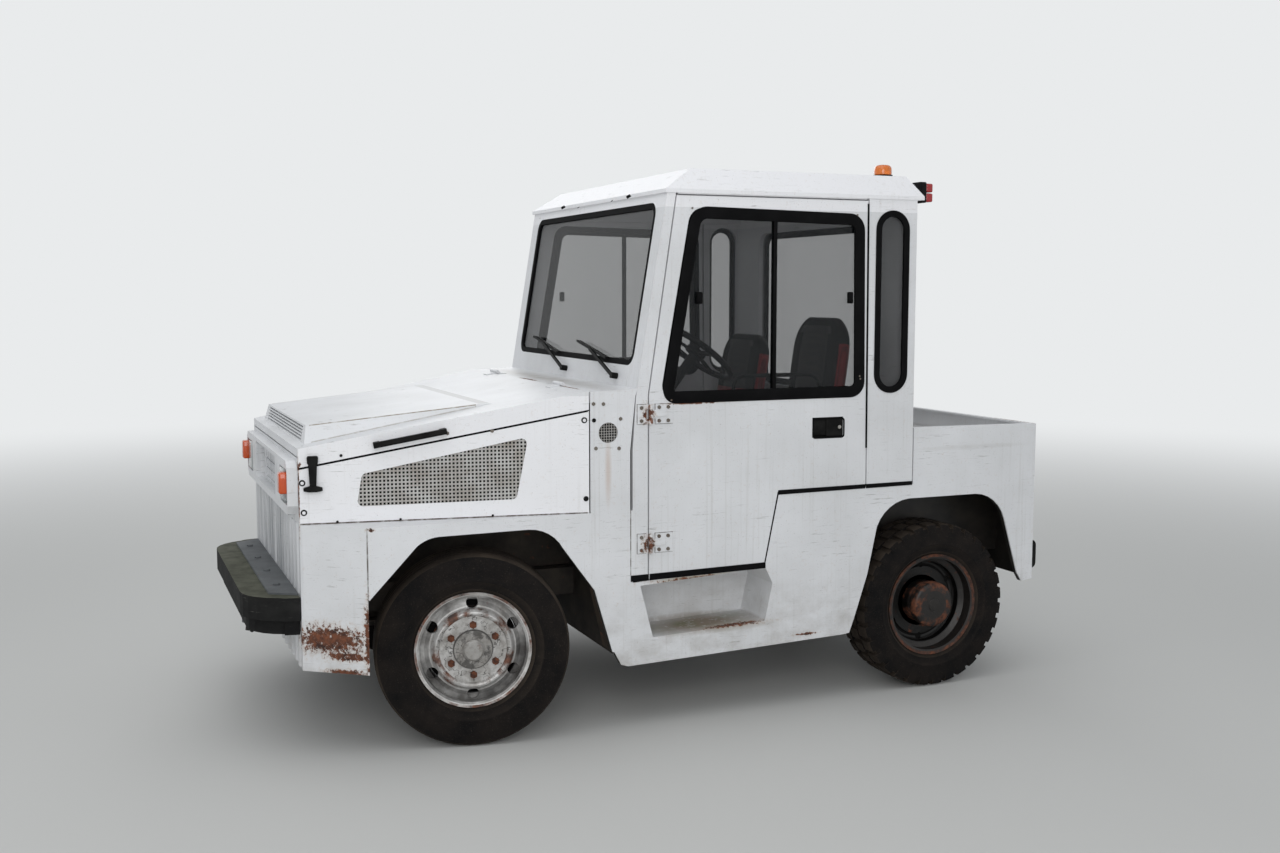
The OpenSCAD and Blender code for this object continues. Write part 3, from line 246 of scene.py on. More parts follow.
def white_enamel_and_shade():
    """Hand-sprayed white enamel on sheet steel, which scuffs grey and chips down to rust, with painted shade
    on its front face and in some recesses and gaps.
    """
    material, tree, shader = start_material("weathered_white_enamel_and_shade")
    x, y, z = add_node(tree, "SeparateXYZ", {"Vector": own_place(tree)}).outputs
    aside = maths(tree, "ABSOLUTE", y)
    axes = {"x": x, "aside": aside, "z": z}

    def box(**ranges):
        """1 inside a box and 0 elsewhere. Its ranges are in metres, and aside counts from the middle."""
        return times(*[between(axes[axis], *ends) for axis, ends in ranges.items()])

    # Sun and washing leave the coat a little uneven over a hand's breadth.
    colour = tinted(noise(tree, 2.2, 0.35, 0.75), "#e0e1e3", "#d1d2d3")
    # The hood's side panels, on their upright faces, and the roof are coloured whiter than the rest.
    facing = add_node(tree, "SeparateXYZ", {0: own_place(tree, "Normal")})
    upright = ramp(facing.outputs["Z"], 0.45, 0.35)
    panels = times(box(x=(0.485, 1.6145), z=(0.9262, 1.40), aside=(0.60, 0.90)), upright)
    colour = laid(colour, "#ebebed", strongest(panels, box(z=(2.165, 2.400))))
    # Cases drag along the sides and leave level grey scuffs a few millimetres high and a hand long.
    scuffs = noise(tree, (11, 11, 150), 0.61, 0.72, 7.0)
    scuffed_places = noise(tree, (2.3, 2.3, 3.1), 0.44, 0.62, 4.0)
    colour = laid(colour, "#7b7973", scuffs, scuffed_places, 0.8)
    # Rain draws the dust down in narrow streaks, more in some places than in others.
    streaks = noise(tree, (70, 70, 1.6), 0.54, 0.80)
    streaked_places = noise(tree, (1.7, 1.7, 1.1), 0.42, 0.70)
    colour = laid(colour, "#a39f95", streaks, streaked_places, 0.42)
    specks = noise(tree, 190, 0.67, 0.75, 2.0)
    colour = laid(colour, "#75716a", specks, 0.5)
    # The fluted front panel and the lamp surround are greyed by painted shade and by road film that runs down
    # the flutes.
    shaded_front_face = stains(tree, [((688, 0, 740), (30, 950, 360)), ((700, 0, 1070), (60, 560, 100))])
    film = noise(tree, (55, 55, 1.3), 0.36, 0.66, 4.0)
    colour = laid(colour, "#777b7f", shaded_front_face, film, 0.92)
    # Road dirt thickens below the knee.
    mud = noise(tree, (9, 9, 14), 0.40, 0.78, 6.0)
    colour = laid(colour, "#857d70", ramp(z, 0.66, 0.24), mud, 0.6)
    # The tray's floor and the cowl's top are only dusty.
    dusty = stains(tree, [((-2330, 0, 1110), (500, 1200, 20)), ((-556, 0, 1418), (90, 1100, 14))])
    colour = laid(colour, "#8d8577", dusty, noise(tree, 12, 0.10, 0.75, 8.0), 0.75)
    # Grit and moss lie on the treads of the steps and along the sills under the doors.
    grimy = stains(tree, [
        ((-1000, 740, 386), (420, 190, 30)), ((-1000, -740, 386), (420, 190, 30)),
        ((-960, 846, 616), (360, 30, 20)), ((-960, -846, 616), (360, 30, 20)), ((686, 0, 506), (30, 800, 20)),
    ])
    moss = tinted(noise(tree, 9, 0.40, 0.62), "#7c6a56", "#6c6845")
    colour = laid(colour, moss, grimy, noise(tree, 38, 0.18, 0.46, 7.0))
    # The places where rust comes through: the front corners, hinges, seams, steps and edges.
    near_rust = stains(tree, [
        ((590, 770, 474), (300, 260, 100)), ((520, 800, 412), (200, 200, 30)),
        ((610, -770, 462), (220, 200, 50)), ((457, 860, 490), (24, 50, 260)),
        ((530, 800, 350), (160, 160, 22)), ((440, 860, 912), (28, 30, 12)),
        ((682, 690, 1040), (6, 20, 260)), ((678, 680, 1150), (16, 30, 35)),
        ((-706, 876, 1316), (50, 30, 80)), ((-706, 876, 777), (50, 30, 84)),
        ((-702, -876, 1316), (30, 30, 50)), ((-460, 600, 1416), (18, 200, 10)),
        ((-470, 0, 1418), (18, 240, 10)), ((-960, 856, 606), (370, 30, 28)),
        ((-960, -856, 598), (300, 20, 12)), ((-1080, 846, 393), (340, 50, 16)),
        ((-900, 861, 1356), (220, 10, 8)), ((-2690, 700, 1206), (20, 340, 8)),
        ((-1470, 862, 318), (100, 20, 10)),
    ])
    rusting = maths(tree, "ADD", grain(tree, 62.0, 9.0, 0.74), times(near_rust, 0.345))
    rust = ramp(rusting, 0.715, 0.765)
    colour = laid(colour, "#a9814f", ramp(rusting, 0.58, 0.80), 0.38)
    # A brown run below the round vent.
    colour = laid(colour, "#b59377", stains(tree, [((-533, 860, 1090), (18, 50, 170))]), 0.40)
    colour = laid(colour, rust_colours(tree), rust)
    # Dark lines run along the seam over the ledge and down the fold at each front corner.
    line_breakup = noise(tree, 31, 0.20, 0.52, 5.0)
    over_ledge = box(z=(0.9205, 0.9262), x=(0.36, 1.6155), aside=(0.672, 0.859))
    folds = stains(tree, [((455, side * SIDE, 770), (4.2, 10, 260)) for side in (1, -1)])
    # A painted shadow also outlines the hinges' leaves, whose edges stand 3 mm inside these bands.
    off_middle = maths(tree, "ABSOLUTE", maths(tree, "SUBTRACT", z, 1.0475))
    leaf_bands = strongest(box(x=(0.112, 0.196)), box(x=(0.232, 0.276)))
    at_hinges = between(off_middle, 0.2265, 0.3125)
    hinge_leaf_shadows = times(leaf_bands, at_hinges, 0.8, box(aside=(0.857, 0.8605)))
    # A joint in the sheets runs down from the cowl to the front of the sill.
    sill_joint = box(x=(0.3005, 0.3045), z=(0.648, 0.9262), aside=(0.857, 0.8605))
    dark_lines_and_shadows = strongest(over_ledge, folds, hinge_leaf_shadows, sill_joint)
    colour = laid(colour, "#4b4036", dark_lines_and_shadows, line_breakup)
    # Painted shade greys the slope where the scoop's rear end dies into the lid, and dark lines run along the
    # scoop's creases.
    colour = laid(colour, "#9f9f9d", box(x=(0.816, 0.864), aside=(-0.1, 0.580), z=(1.30, 1.45)), 0.6)
    on_hood = box(z=(1.19, 1.43), x=(0.88, 1.55))
    # The upper creases draw apart by 39 mm over the scoop's 704 mm as it gets lower.
    drawn_apart = maths(tree, "MULTIPLY_ADD", x, 0.0554, aside)
    creases = times(on_hood, between(drawn_apart, 0.6337, 0.6400), 0.85)
    feet = times(on_hood, box(aside=(0.5925, 0.5990)), 0.5)
    colour = laid(colour, "#7d705c", strongest(creases, feet), line_breakup)
    # Painted shade turns the sheet behind the wires of each round vent near black.
    mirrored = vector_maths(tree, "ABSOLUTE", own_place(tree))
    off_vent = vector_maths(tree, "DISTANCE", mirrored, from_axle(-534, 852.5, 1247), output="Value")
    colour = laid(colour, "#0d0c0b", between(off_vent, 0.0, 0.054), box(aside=(0.845, 0.8545)))
    # Painted shade darkens the sheets inside the wheel arches to near black, mottled like road dirt.
    arches = strongest(box(x=(0.270, 1.385)), box(x=(-1.751, -0.765)))
    inboard = ramp(aside, 0.8535, 0.8525)
    arch_shade = tinted(mud, "#171513", "#2f2a25")
    colour = laid(colour, arch_shade, arches, inboard, ramp(z, 0.914, 0.912))
    # Shallow dents about 0.3 m apart, then the chips and the rust's scale.
    dented = bump(grain(tree, 3.2, 1.0), 0.28, 0.012)
    scaled = maths(tree, "MULTIPLY_ADD", rust, 0.9, times(specks, -0.3))
    set_node(tree, shader, {
        "Base Color": colour, "Roughness": ramp(rust, start=0.45, end=0.85),
        "Normal": bump(scaled, 0.5, 0.0008, dented),
    })
    return material


def dress(material, *nodes):
    """Gives CAD nodes a material in place of the plain one they came with."""
    for name in nodes:
        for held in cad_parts[name].material_slots:
            held.material = material


enamel_and_shade = white_enamel_and_shade()
dress(
    enamel_and_shade, "skirt_left", "skirt_right", "front_panel", "grille_panel", "hood_sides", "cowl", "rear_deck",
    "cab_frame", "roof", "hood_lid", "door_left", "door_right",
)


# Frame, axles and hitches.
# Rolled and welded steel under the body, painted dark once and now coated in oil and road dust.
# The couplings at both ends are flame-cut plate, rubbed bare and rusted where bars hook in.
def dark_steel(name, clean, dusty, rust_share):
    """Old chassis paint under oil and dust, with rust through part of it."""
    material, tree, shader = start_material(name)
    colour = tinted(noise(tree, 7, 0.36, 0.70, 6.0), clean, dusty)
    patches = noise(tree, 26, 0.66 - rust_share, 0.74 - rust_share, 7.0)
    colour = laid(colour, rust_colours(tree), patches, 0.85)
    scale = bump(grain(tree, 90.0, 5.0), 0.45, 0.0012)
    set_node(tree, shader, {"Base Color": colour, "Roughness": 0.78, "Normal": scale})
    return material


chassis_and_shade_paint = dark_steel("oily_chassis_and_shade_paint", "#211d1a", "#433c34", 0.02)
dress(
    chassis_and_shade_paint, "frame_rails", "front_axle", "rear_axle", "engine_block", "knuckle_left", "knuckle_right",
)
hitch_steel = dark_steel("rusty_hitch_steel", "#3a2c24", "#5d4636", 0.14)
dress(hitch_steel, "rear_hitch")


def make_piece(bm, name, material, body="chassis", sharp_over=35):
    """Turns a bmesh into a piece that rides on a body. Edges sharper than the angle stay crisp."""
    bmesh.ops.recalc_face_normals(bm, faces=bm.faces[:])
    mesh = bpy.data.meshes.new(name)
    bm.to_mesh(mesh)
    bm.free()
    mesh.materials.append(material)
    mesh.shade_smooth()
    mesh.set_sharp_from_angle(angle=math.radians(sharp_over))
    piece = bpy.data.objects.new(name, mesh)
    bpy.context.scene.collection.objects.link(piece)
    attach(piece, body)
    return piece


def add_box(bm, corner, far_corner, round_by, steps=2):
    """A box between two opposite corners, its edges rounded."""
    low, high = Vector(map(min, corner, far_corner)), Vector(map(max, corner, far_corner))
    size = Matrix.Diagonal((*(high - low), 1))
    made = bmesh.ops.create_cube(bm, size=1.0, matrix=Matrix.Translation((low + high) / 2) @ size)
    edges = list({edge for vert in made["verts"] for edge in vert.link_edges})
    bmesh.ops.bevel(
        bm, geom=edges, offset=round_by, segments=steps, profile=0.5, affect="EDGES", material=-1
    )


def add_hull(bm, points):
    """The solid that eight corner points close in. They are in millimetres from the front axle."""
    bmesh.ops.convex_hull(bm, input=[bm.verts.new(from_axle(*point)) for point in points])


def add_head(bm, place, facing, radius, height, sides=6, top=0.86):
    """A bolt head, rivet or nut that stands on a surface, with its face turned along facing."""
    turn = Vector(facing).to_track_quat("Z", "Y").to_matrix().to_4x4()
    matrix = Matrix.Translation(place) @ turn @ Matrix.Translation((0, 0, height / 2))
    bmesh.ops.create_cone(
        bm, cap_ends=True, segments=sides, radius1=radius, radius2=radius * top, depth=height, matrix=matrix
    )


def thicken(piece, name, thickness):
    """Gives a thin sheet its thickness, half of it to each side."""
    wall = piece.modifiers.new(name, "SOLIDIFY")
    wall.thickness = thickness
    wall.offset = 0


def soften(piece, width, name="rounded_edges", segments=2, sharper_than=40):
    """Rounds a strip's or a plate's edges."""
    edge = piece.modifiers.new(name, "BEVEL")
    edge.width = width
    edge.segments = segments
    edge.limit_method = "ANGLE"
    edge.angle_limit = math.radians(sharper_than)


def moved_verts(made):
    """The vertices among what an operator made."""
    return [part for part in made["geom"] if isinstance(part, bmesh.types.BMVert)]


# Engine bay.
# On the block lie a ribbed rocker cover, a round air filter and its intake duct.
# Dark sheets close the bay behind it as painted shade.
UP = (0, 0, 1)
bay_paint = dark_steel("oily_engine_enamel", "#2b3436", "#3f3a33", 0.03)
rocker_bm = bmesh.new()
add_box(rocker_bm, from_axle(-270, -105, 958), from_axle(260, 105, 1020), 0.016)
for x in range(-240, 241, 60):
    add_box(rocker_bm, from_axle(x - 6, -88, 1012), from_axle(x + 6, 88, 1027), 0.004)
add_head(rocker_bm, from_axle(180, 40, 1018), UP, 0.034, 0.034, 24, 0.9)
make_piece(rocker_bm, "rocker_cover", bay_paint)
filter_bm = bmesh.new()
add_head(filter_bm, from_axle(-150, 210, 958), UP, 0.085, 0.100, 40, 1.0)
add_head(filter_bm, from_axle(-150, 210, 1056), UP, 0.092, 0.014, 40, 0.97)
add_head(filter_bm, from_axle(-150, 210, 1068), UP, 0.012, 0.016, 6)
add_box(filter_bm, from_axle(-20, 180, 958), from_axle(190, 290, 1010), 0.012)
make_piece(filter_bm, "air_filter", chassis_and_shade_paint)
# Painted shade: a dark sheet on each side of the bay.
bay_shade_bm = bmesh.new()
for side in (-1, 1):
    add_box(bay_shade_bm, from_axle(-638, side * 315, 604), from_axle(-326, side * 321, 908), 0.001)
make_piece(bay_shade_bm, "bay_shade_sheets", chassis_and_shade_paint)


# Walls behind the front wheels.
# A dark sheet, as painted shade, shuts each front wheel's well off from the steps, with a lip along the
# arch's rear edge.
# Mud and stone chips have browned the lip.
lip_paint = dark_steel("muddy_arch_lip", "#2a231d", "#5a4a3a", 0.08)
well_shade_bm = bmesh.new()
lip_bm = bmesh.new()
for side in (-1, 1):
    add_box(well_shade_bm, from_axle(-556, side * 90, 322), from_axle(-553, side * 852, 640), 0.001)
    add_hull(lip_bm, [
        (x - back, side * y, z)
        for x, z, depth in ((-474, 598, 60), (-552, 332, 110)) for y in (853, 853 - depth) for back in (0, 3)
    ])
make_piece(well_shade_bm, "front_well_shade_walls", chassis_and_shade_paint)
make_piece(lip_bm, "front_arch_lips", lip_paint)


# Front towing jaws' pin.
# A forged pin with a cross handle hangs in the jaws on a short chain, black with old grease.
grease_steel = dark_steel("greasy_pin_steel", "#151413", "#2a2622", 0.0)
pin_bm = bmesh.new()
add_head(pin_bm, from_axle(800, 0, 372), UP, 0.0135, 0.108, 20, 1.0)
add_head(pin_bm, from_axle(800, 0, 360), UP, 0.022, 0.014, 20, 0.9)
add_head(pin_bm, from_axle(800, -46, 366), (0, 1, 0), 0.008, 0.092, 12, 1.0)
upright_sheet = Matrix.Rotation(math.pi / 2, 4, "X")
for link in range(5):
    turn = Matrix.Rotation(math.radians(90 * (link % 2)), 4, "Z") @ upright_sheet
    place = Matrix.Translation(from_axle(760 - link * 11, 92 + link * 3, 420 - 16 * link + 3 * link * link))
    ring = bmesh.ops.create_circle(pin_bm, segments=12, radius=0.011, matrix=place @ turn)
    rims = list({edge for vert in ring["verts"] for edge in vert.link_edges})
    inner = moved_verts(bmesh.ops.extrude_edge_only(pin_bm, edges=rims))
    bmesh.ops.scale(pin_bm, vec=(1, 1, 0.72), space=Matrix.Translation(-place.translation), verts=inner)
thicken(make_piece(pin_bm, "front_towing_pin", grease_steel), "chain_wire", 0.003)


# Front bumper.
# A long moulded rubber block, scraped on its edges and gone green-grey on top, under a steel hold-down plate.
def worn_rubber(name, clean, faded, mossy_top):
    """Outdoor rubber: grey bloom over black, with green film where rain stands on top."""
    material, tree, shader = start_material(name)
    colour = tinted(noise(tree, (6, 6, 11), 0.34, 0.72, 6.0), clean, faded)
    cuts = noise(tree, (14, 14, 90), 0.64, 0.72, 4.0)
    colour = laid(colour, "#5b5a56", cuts, 0.5)
    if mossy_top:
        facing = add_node(tree, "SeparateXYZ", {0: add_node(tree, "NewGeometry").outputs["Normal"]})
        film = tinted(noise(tree, 17, 0.30, 0.66, 6.0), "#45463c", "#66675a")
        colour = laid(colour, film, ramp(facing.outputs["Z"], 0.55, 0.85), 0.85)
    height = maths(tree, "MULTIPLY_ADD", grain(tree, 130.0, 4.0), 0.25, noise(tree, 9, 0.3, 0.8))
    set_node(tree, shader, {
        "Base Color": colour, "Roughness": 0.82, "Specular IOR Level": 0.15,
        "Normal": bump(height, 0.5, 0.002),
    })
    return material


bumper_rubber = worn_rubber("scraped_bumper_rubber", "#0f0f10", "#262625", True)
dress(bumper_rubber, "front_bumper", "rear_bumpers")
plate_steel = dark_steel("scuffed_plate_steel", "#4c4f51", "#65686a", 0.0)
dress(plate_steel, "front_hitch")


# Front lamps.
# Moulded headlamps with a ribbed lens over a bright bowl sit beside amber indicators, in the raised surround.
def bands(tree, direction, pitch_mm):
    """Soft bands across an axis. The wave node's scale is 155 for a pitch of 1 mm."""
    settings = {"bands_direction": direction, "Scale": 155 / pitch_mm, "Vector": own_place(tree)}
    return add_node(tree, "TexWave", settings).outputs["Fac"]


def moulded_lens(name, colour, see_through, ribs_mm):
    """Clear or coloured acrylic, fluted inside so that the light spreads."""
    material, tree, shader = start_material(name)
    set_node(tree, shader, {
        "Base Color": linear(colour), "Roughness": 0.10, "IOR": 1.49, "Transmission Weight": see_through,
        "Coat Weight": 0.4, "Normal": bump(bands(tree, "Y", ribs_mm), 0.35, 0.0015),
    })
    return material


clear_lens = moulded_lens("fluted_clear_acrylic", "#cfd4d4", 0.45, 7)
amber_lens = moulded_lens("fluted_amber_acrylic", "#cf4f12", 0.10, 4)
lamp_bm = bmesh.new()
indicator_bm = bmesh.new()
for side in (-1, 1):
    inner, outer = side * 516 - 63.5, side * 516 + 63.5
    add_box(lamp_bm, from_axle(690, inner, 995.5), from_axle(724, outer, 1128.5), 0.013, 4)
    middle, half = from_axle(719, side * 611, 1078.5), Vector((0.029, 0.0265, 0.0425))
    add_box(indicator_bm, middle - half, middle + half, 0.009, 4)
headlamps = make_piece(lamp_bm, "headlamps", clear_lens)
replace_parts(headlamps, "front_lamps")
make_piece(indicator_bm, "front_indicators", amber_lens)


# Perforated side panels.
# Thin steel sheet, punched with square holes about 15 mm apart, lets the radiator's air out of the hood.
# Behind it a black pad stands in as painted shade inside the hood.
HOOD_FRONT, HOOD_FRONT_HALF, HOOD_REAR = 682, 690, -450
TAPER = math.atan((SIDE - HOOD_FRONT_HALF) / (HOOD_FRONT - HOOD_REAR))
hood_corner = from_axle(HOOD_FRONT, HOOD_FRONT_HALF, 0)
hood_side_turn = Matrix.Translation(hood_corner) @ Matrix.Rotation(-TAPER, 4, "Z")


def punched_steel():
    """Bare punched sheet, dulled by weather, with brown dust in its corners."""
    material, tree, shader = start_material("punched_grille_steel")
    colour = tinted(noise(tree, 11, 0.34, 0.72, 5.0), "#bcbcba", "#928c84")
    set_node(tree, shader, {"Base Color": colour, "Metallic": 0.35, "Roughness": 0.55})
    return material


grille_steel = punched_steel()
mesh_bm = bmesh.new()
shade_pad_bm = bmesh.new()
pitch, columns, rows = 0.0151, 46, 19
panel_size = Matrix.Diagonal((columns * pitch, rows * pitch, 1, 1))
panel_place = Matrix.Translation((-0.560, 0, 1.112)) @ upright_sheet @ panel_size
bmesh.ops.create_grid(mesh_bm, x_segments=columns, y_segments=rows, size=0.5, matrix=panel_place)
bars = bmesh.ops.inset_individual(mesh_bm, faces=mesh_bm.faces[:], thickness=0.0034, use_even_offset=True)
holes = [face for face in mesh_bm.faces if face not in set(bars["faces"])]
bmesh.ops.delete(mesh_bm, geom=holes, context="FACES")
bmesh.ops.create_grid(shade_pad_bm, x_segments=1, y_segments=1, size=0.5, matrix=panel_place)
for panel_bm, depth in ((mesh_bm, -0.0072), (shade_pad_bm, -0.0190)):
    for corner, outward in [
        ((-0.2289, 0, 1.114), (0.985, 0, 0.172)), ((-0.9088, 0, 1.238), (-0.981, 0, -0.196)),
        ((-0.2407, 0, 1.124), (0.191, 0, 0.982)), ((-0.2184, 0, 0.973), (0, 0, -1.0)),
    ]:
        whole = panel_bm.verts[:] + panel_bm.edges[:] + panel_bm.faces[:]
        bmesh.ops.bisect_plane(panel_bm, geom=whole, plane_co=corner, plane_no=outward, clear_outer=True)
    sheet_place = hood_side_turn @ Matrix.Translation((0, depth, 0))
    bmesh.ops.transform(panel_bm, matrix=sheet_place, verts=panel_bm.verts[:])
    other = bmesh.ops.duplicate(panel_bm, geom=panel_bm.verts[:] + panel_bm.edges[:] + panel_bm.faces[:])
    bmesh.ops.transform(panel_bm, matrix=Matrix.Diagonal((1, -1, 1, 1)), verts=moved_verts(other))
grille_mesh = make_piece(mesh_bm, "perforated_side_panels", grille_steel)
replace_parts(grille_mesh, "side_grilles")
thicken(grille_mesh, "sheet_thickness", 0.0016)
# A near-black backing that stands in as painted shade behind the grilles and the wheel discs.
shade_backing = worn_rubber("black_shade_backing", "#0b0b0b", "#151413", False)
thicken(make_piece(shade_pad_bm, "grille_shade_pads", shade_backing), "backing_thickness", 0.004)


# Hood fittings and fasteners.
# A black T-latch and a grab handle sit on each side of the hood. Round-headed bolts hold the sheets.
def moulded_plastic(name, clean, worn, roughness=0.5):
    """Black moulded plastic, greyed by sun and handling."""
    material, tree, shader = start_material(name)
    colour = tinted(noise(tree, 12, 0.40, 0.75, 4.0), clean, worn)
    set_node(tree, shader, {
        "Base Color": colour, "Roughness": roughness, "Specular IOR Level": 0.08,
        "Normal": bump(grain(tree, 700.0, 2.0), 0.25, 0.0004),
    })
    return material


black_plastic = moulded_plastic("greyed_black_plastic", "#0e0e0e", "#222221")
dress(black_plastic, "hood_fittings", "wipers", "dashboard", "steering_wheel")
bolt_steel = dark_steel("weathered_bolt_steel", "#77726a", "#55493f", 0.08)
cowl_bolt_bm = bmesh.new()
stud_bm = bmesh.new()
cowl_plug_bm = bmesh.new()
hood_bolt_bm = bmesh.new()
hood_plug_bm = bmesh.new()
for side in (1, -1):
    outward = Vector((math.sin(TAPER), side * math.cos(TAPER), 0))
    # Each row: the heads' places on the hood's tapered side, then their radius, height and number of sides.
    # The first two are quarter-turn fasteners, painted studs in dark rings.
    for head_bm, spots, radius, height, sides in [
        (cowl_plug_bm, ((668, 1084), (664, 968), (-431, 1302)), 0.0125, 0.003, 20),
        (stud_bm, ((668, 1084), (664, 968), (-431, 1302)), 0.0075, 0.0050, 16),
        (cowl_plug_bm, ((-437, 981),), 0.011, 0.005, 14),
        (cowl_plug_bm, ((540, 928), (300, 928), (-60, 928)), 0.005, 0.005, 14),
        (hood_bolt_bm, ((-61, 1268), (114, 1263)), 0.008, 0.004, 6),
        (hood_plug_bm, ((521, 1187),), 0.006, 0.005, 14),
    ]:
        for x, z in spots:
            y = HOOD_FRONT_HALF + (HOOD_FRONT - x) * math.tan(TAPER)
            add_head(head_bm, from_axle(x, side * y, z), outward, radius, height, sides)
    for x, z in ((-470, 1367), (-513, 1365), (-588, 1302), (-480, 1185), (-581, 1181)):
        add_head(cowl_bolt_bm, from_axle(x, side * SIDE, z), (0, side, 0), 0.0085, 0.004, 6)
    add_head(cowl_plug_bm, from_axle(-472, side * SIDE, 1300), (0, side, 0), 0.009, 0.004, 14)
make_piece(cowl_bolt_bm, "cowl_bolts", bolt_steel)
make_piece(stud_bm, "quarter_turn_studs", enamel_and_shade)
make_piece(cowl_plug_bm, "cowl_plugs", black_plastic)
make_piece(hood_bolt_bm, "hood_flange_bolts", bolt_steel, "hood")
make_piece(hood_plug_bm, "hood_flange_plugs", black_plastic, "hood")


# Round vents in the cowl's sides.
# Welded wire mesh on an 11 mm pitch behind an 84 mm hole, with a black disc behind it as painted shade.
WIRE_PITCH = 0.011
vent_bm = bmesh.new()
vent_shade_bm = bmesh.new()
for side in (1, -1):
    hole_middle = from_axle(-534, side * 855.3, 1247)
    made = bmesh.ops.create_grid(
        vent_bm, x_segments=9, y_segments=9, size=4.5 * WIRE_PITCH,
        matrix=Matrix.Translation(hole_middle) @ upright_sheet,
    )
    cells = list({face for corner in made["verts"] for face in corner.link_faces})
    bmesh.ops.inset_individual(vent_bm, faces=cells, thickness=0.0015)
    reach = 4.3 * WIRE_PITCH
    inside_hole = [cell for cell in cells if (cell.calc_center_median() - hole_middle).length < reach]
    bmesh.ops.delete(vent_bm, geom=inside_hole, context="FACES")
    # A black disc behind each vent's wires, as painted shade.
    add_head(vent_shade_bm, from_axle(-534, side * 843, 1247), (0, side, 0), 0.052, 0.004, 32, 1.0)
thicken(make_piece(vent_bm, "vent_mesh", grille_steel), "wire_thickness", 0.0016)
make_piece(vent_shade_bm, "vent_shade_discs", black_plastic)


# Windows.
# Black rubber and sliding frames hold tinted safety glass in each opening, with small latches near the ends.
def tinted_glass():
    """Smoke-tinted safety glass, seen through in part and smeared with dust."""
    material, tree, shader = start_material("smoke_tinted_glass")
    smears = noise(tree, (2.6, 2.6, 5.0), 0.35, 0.8, 5.0)
    rough = ramp(smears, start=0.03, end=0.14)
    set_node(tree, shader, {"Base Color": linear("#0d1114"), "IOR": 1.52, "Roughness": rough, "Alpha": 0.30})
    return material


window_glass = tinted_glass()
dress(window_glass, "windscreen", "cab_glass", "door_glass_left", "door_glass_right")
seal_rubber = moulded_plastic("black_window_rubber", "#070708", "#101011", 0.70)
DOORS = [(1, "left", "door_l"), (-1, "right", "door_r")]


def seal_piece(name, corners, radius, places, width, thickness, body="chassis", lip=0.0035):
    """A ring of black rubber at each place. Corners, their radius and both sizes are in millimetres."""
    bm = bmesh.new()
    for place in places:
        points = [bm.verts.new((x / 1000, 0, z / 1000)) for x, z in corners]
        bm.faces.new(points)
        bmesh.ops.bevel(
            bm, geom=points, offset=radius / 1000, segments=9, profile=0.5, affect="VERTICES", material=-1
        )
        face = max(bm.faces, key=lambda f: (len(f.verts) > 20) * f.calc_area())
        ring = bmesh.ops.inset_region(
            bm, faces=[face], thickness=width / 1000, use_boundary=True, use_even_offset=True
        )
        bmesh.ops.delete(bm, geom=[face], context="FACES")
        bmesh.ops.transform(bm, matrix=place, verts=list({v for f in ring["faces"] for v in f.verts}))
    piece = make_piece(bm, name, seal_rubber, body)
    thicken(piece, "rubber_thickness", thickness / 1000)
    soften(piece, lip, "rounded_lips", 3, 50)


def flat_at(x, y, z):
    """A sheet that faces sideways, with its zero in millimetres from the front axle."""
    return Matrix.Translation(from_axle(x, y, z))


across = Matrix.Rotation(math.pi / 2, 4, "Z")
door_ring = [(-906, 2171), (-766, 1357), (-1747, 1357), (-1735, 2155)]
slot_ring = [(-1966, 2174), (-1794, 2174), (-1794, 1371), (-1966, 1371)]
for side, name, body in DOORS:
    seal_piece(f"door_window_frame_{name}", door_ring, 72, [flat_at(0, side * 857, 0)], 50, 15, body)
    seal_piece(f"door_window_inner_frame_{name}", door_ring, 72, [flat_at(0, side * 834, 0)], 30, 14, body)
seal_piece("slot_window_seals", slot_ring, 85, [flat_at(0, side * 858, 0) for side in (1, -1)], 28, 12)
screen_rake = Matrix.Rotation(-math.atan(0.167), 4, "Y")
screen_place = flat_at(-676.5, 0, 1512) @ screen_rake @ across @ Matrix.Translation((0, 0.008, 0))
screen_ring = [(-778, -6), (778, -6), (778, 691), (-778, 691)]
seal_piece("windscreen_seal", screen_ring, 64, [screen_place], 32, 15)
rear_ring = [(-566, 1324), (566, 1324), (566, 2136), (-566, 2136)]
seal_piece("rear_window_seal", rear_ring, 75, [flat_at(-2005, 0, 0) @ across], 38, 13)
# A bar splits each door's window into two sliding panes, and each pane has a latch near its end.
for side, name, body in DOORS:
    bar_bm = bmesh.new()
    add_box(bar_bm, from_axle(-1305, side * 838, 1395), from_axle(-1287, side * 862.5, 2125), 0.003)
    for x in (-942, -1668):
        add_box(bar_bm, from_axle(x - 13, side * 850, 1768), from_axle(x + 13, side * 866, 1818), 0.005)
        add_head(bar_bm, from_axle(x, side * 864, 1778), (0, side, 0), 0.006, 0.006, 12)
    screw_bm = bmesh.new()
    for x, z in ((-906, 2161), (-1695, 2150), (-1718, 1450), (-1722, 1438), (-813, 1372)):
        add_head(screw_bm, from_axle(x, side * 863.5, z), (0, side, 0), 0.0045, 0.003, 8)
    make_piece(screw_bm, f"door_window_screws_{name}", bolt_steel, body)
    make_piece(bar_bm, f"sliding_window_bar_{name}", seal_rubber, body)


# Doors.
# Folded steel doors on two bolted hinges, with a recessed black paddle handle and key lock.
# Black strips, partly rubber and partly painted shade, close the wide gap under each door, the step over the
# rear wheel and the rear edge.
lock_steel = dark_steel("dull_lock_steel", "#a3a19b", "#8b8780", 0.0)
HINGE_HEIGHTS = (778, 1317)
# Flat black strips, partly rubber and partly painted shade, lie on the sheet's face between these two planes.
ON_SHEET = (SIDE + 0.3, SIDE + 2.6)


def add_strip(bm, corners, side, inner, outer):
    """A flat strip on one of the tractor's sides. Its corners and its two faces are in millimetres."""
    points = [bm.verts.new(from_axle(x, side * inner, z)) for x, z in corners]
    made = bmesh.ops.extrude_face_region(bm, geom=[bm.faces.new(points)])
    bmesh.ops.translate(bm, vec=(0, side * (outer - inner) / 1000, 0), verts=moved_verts(made))


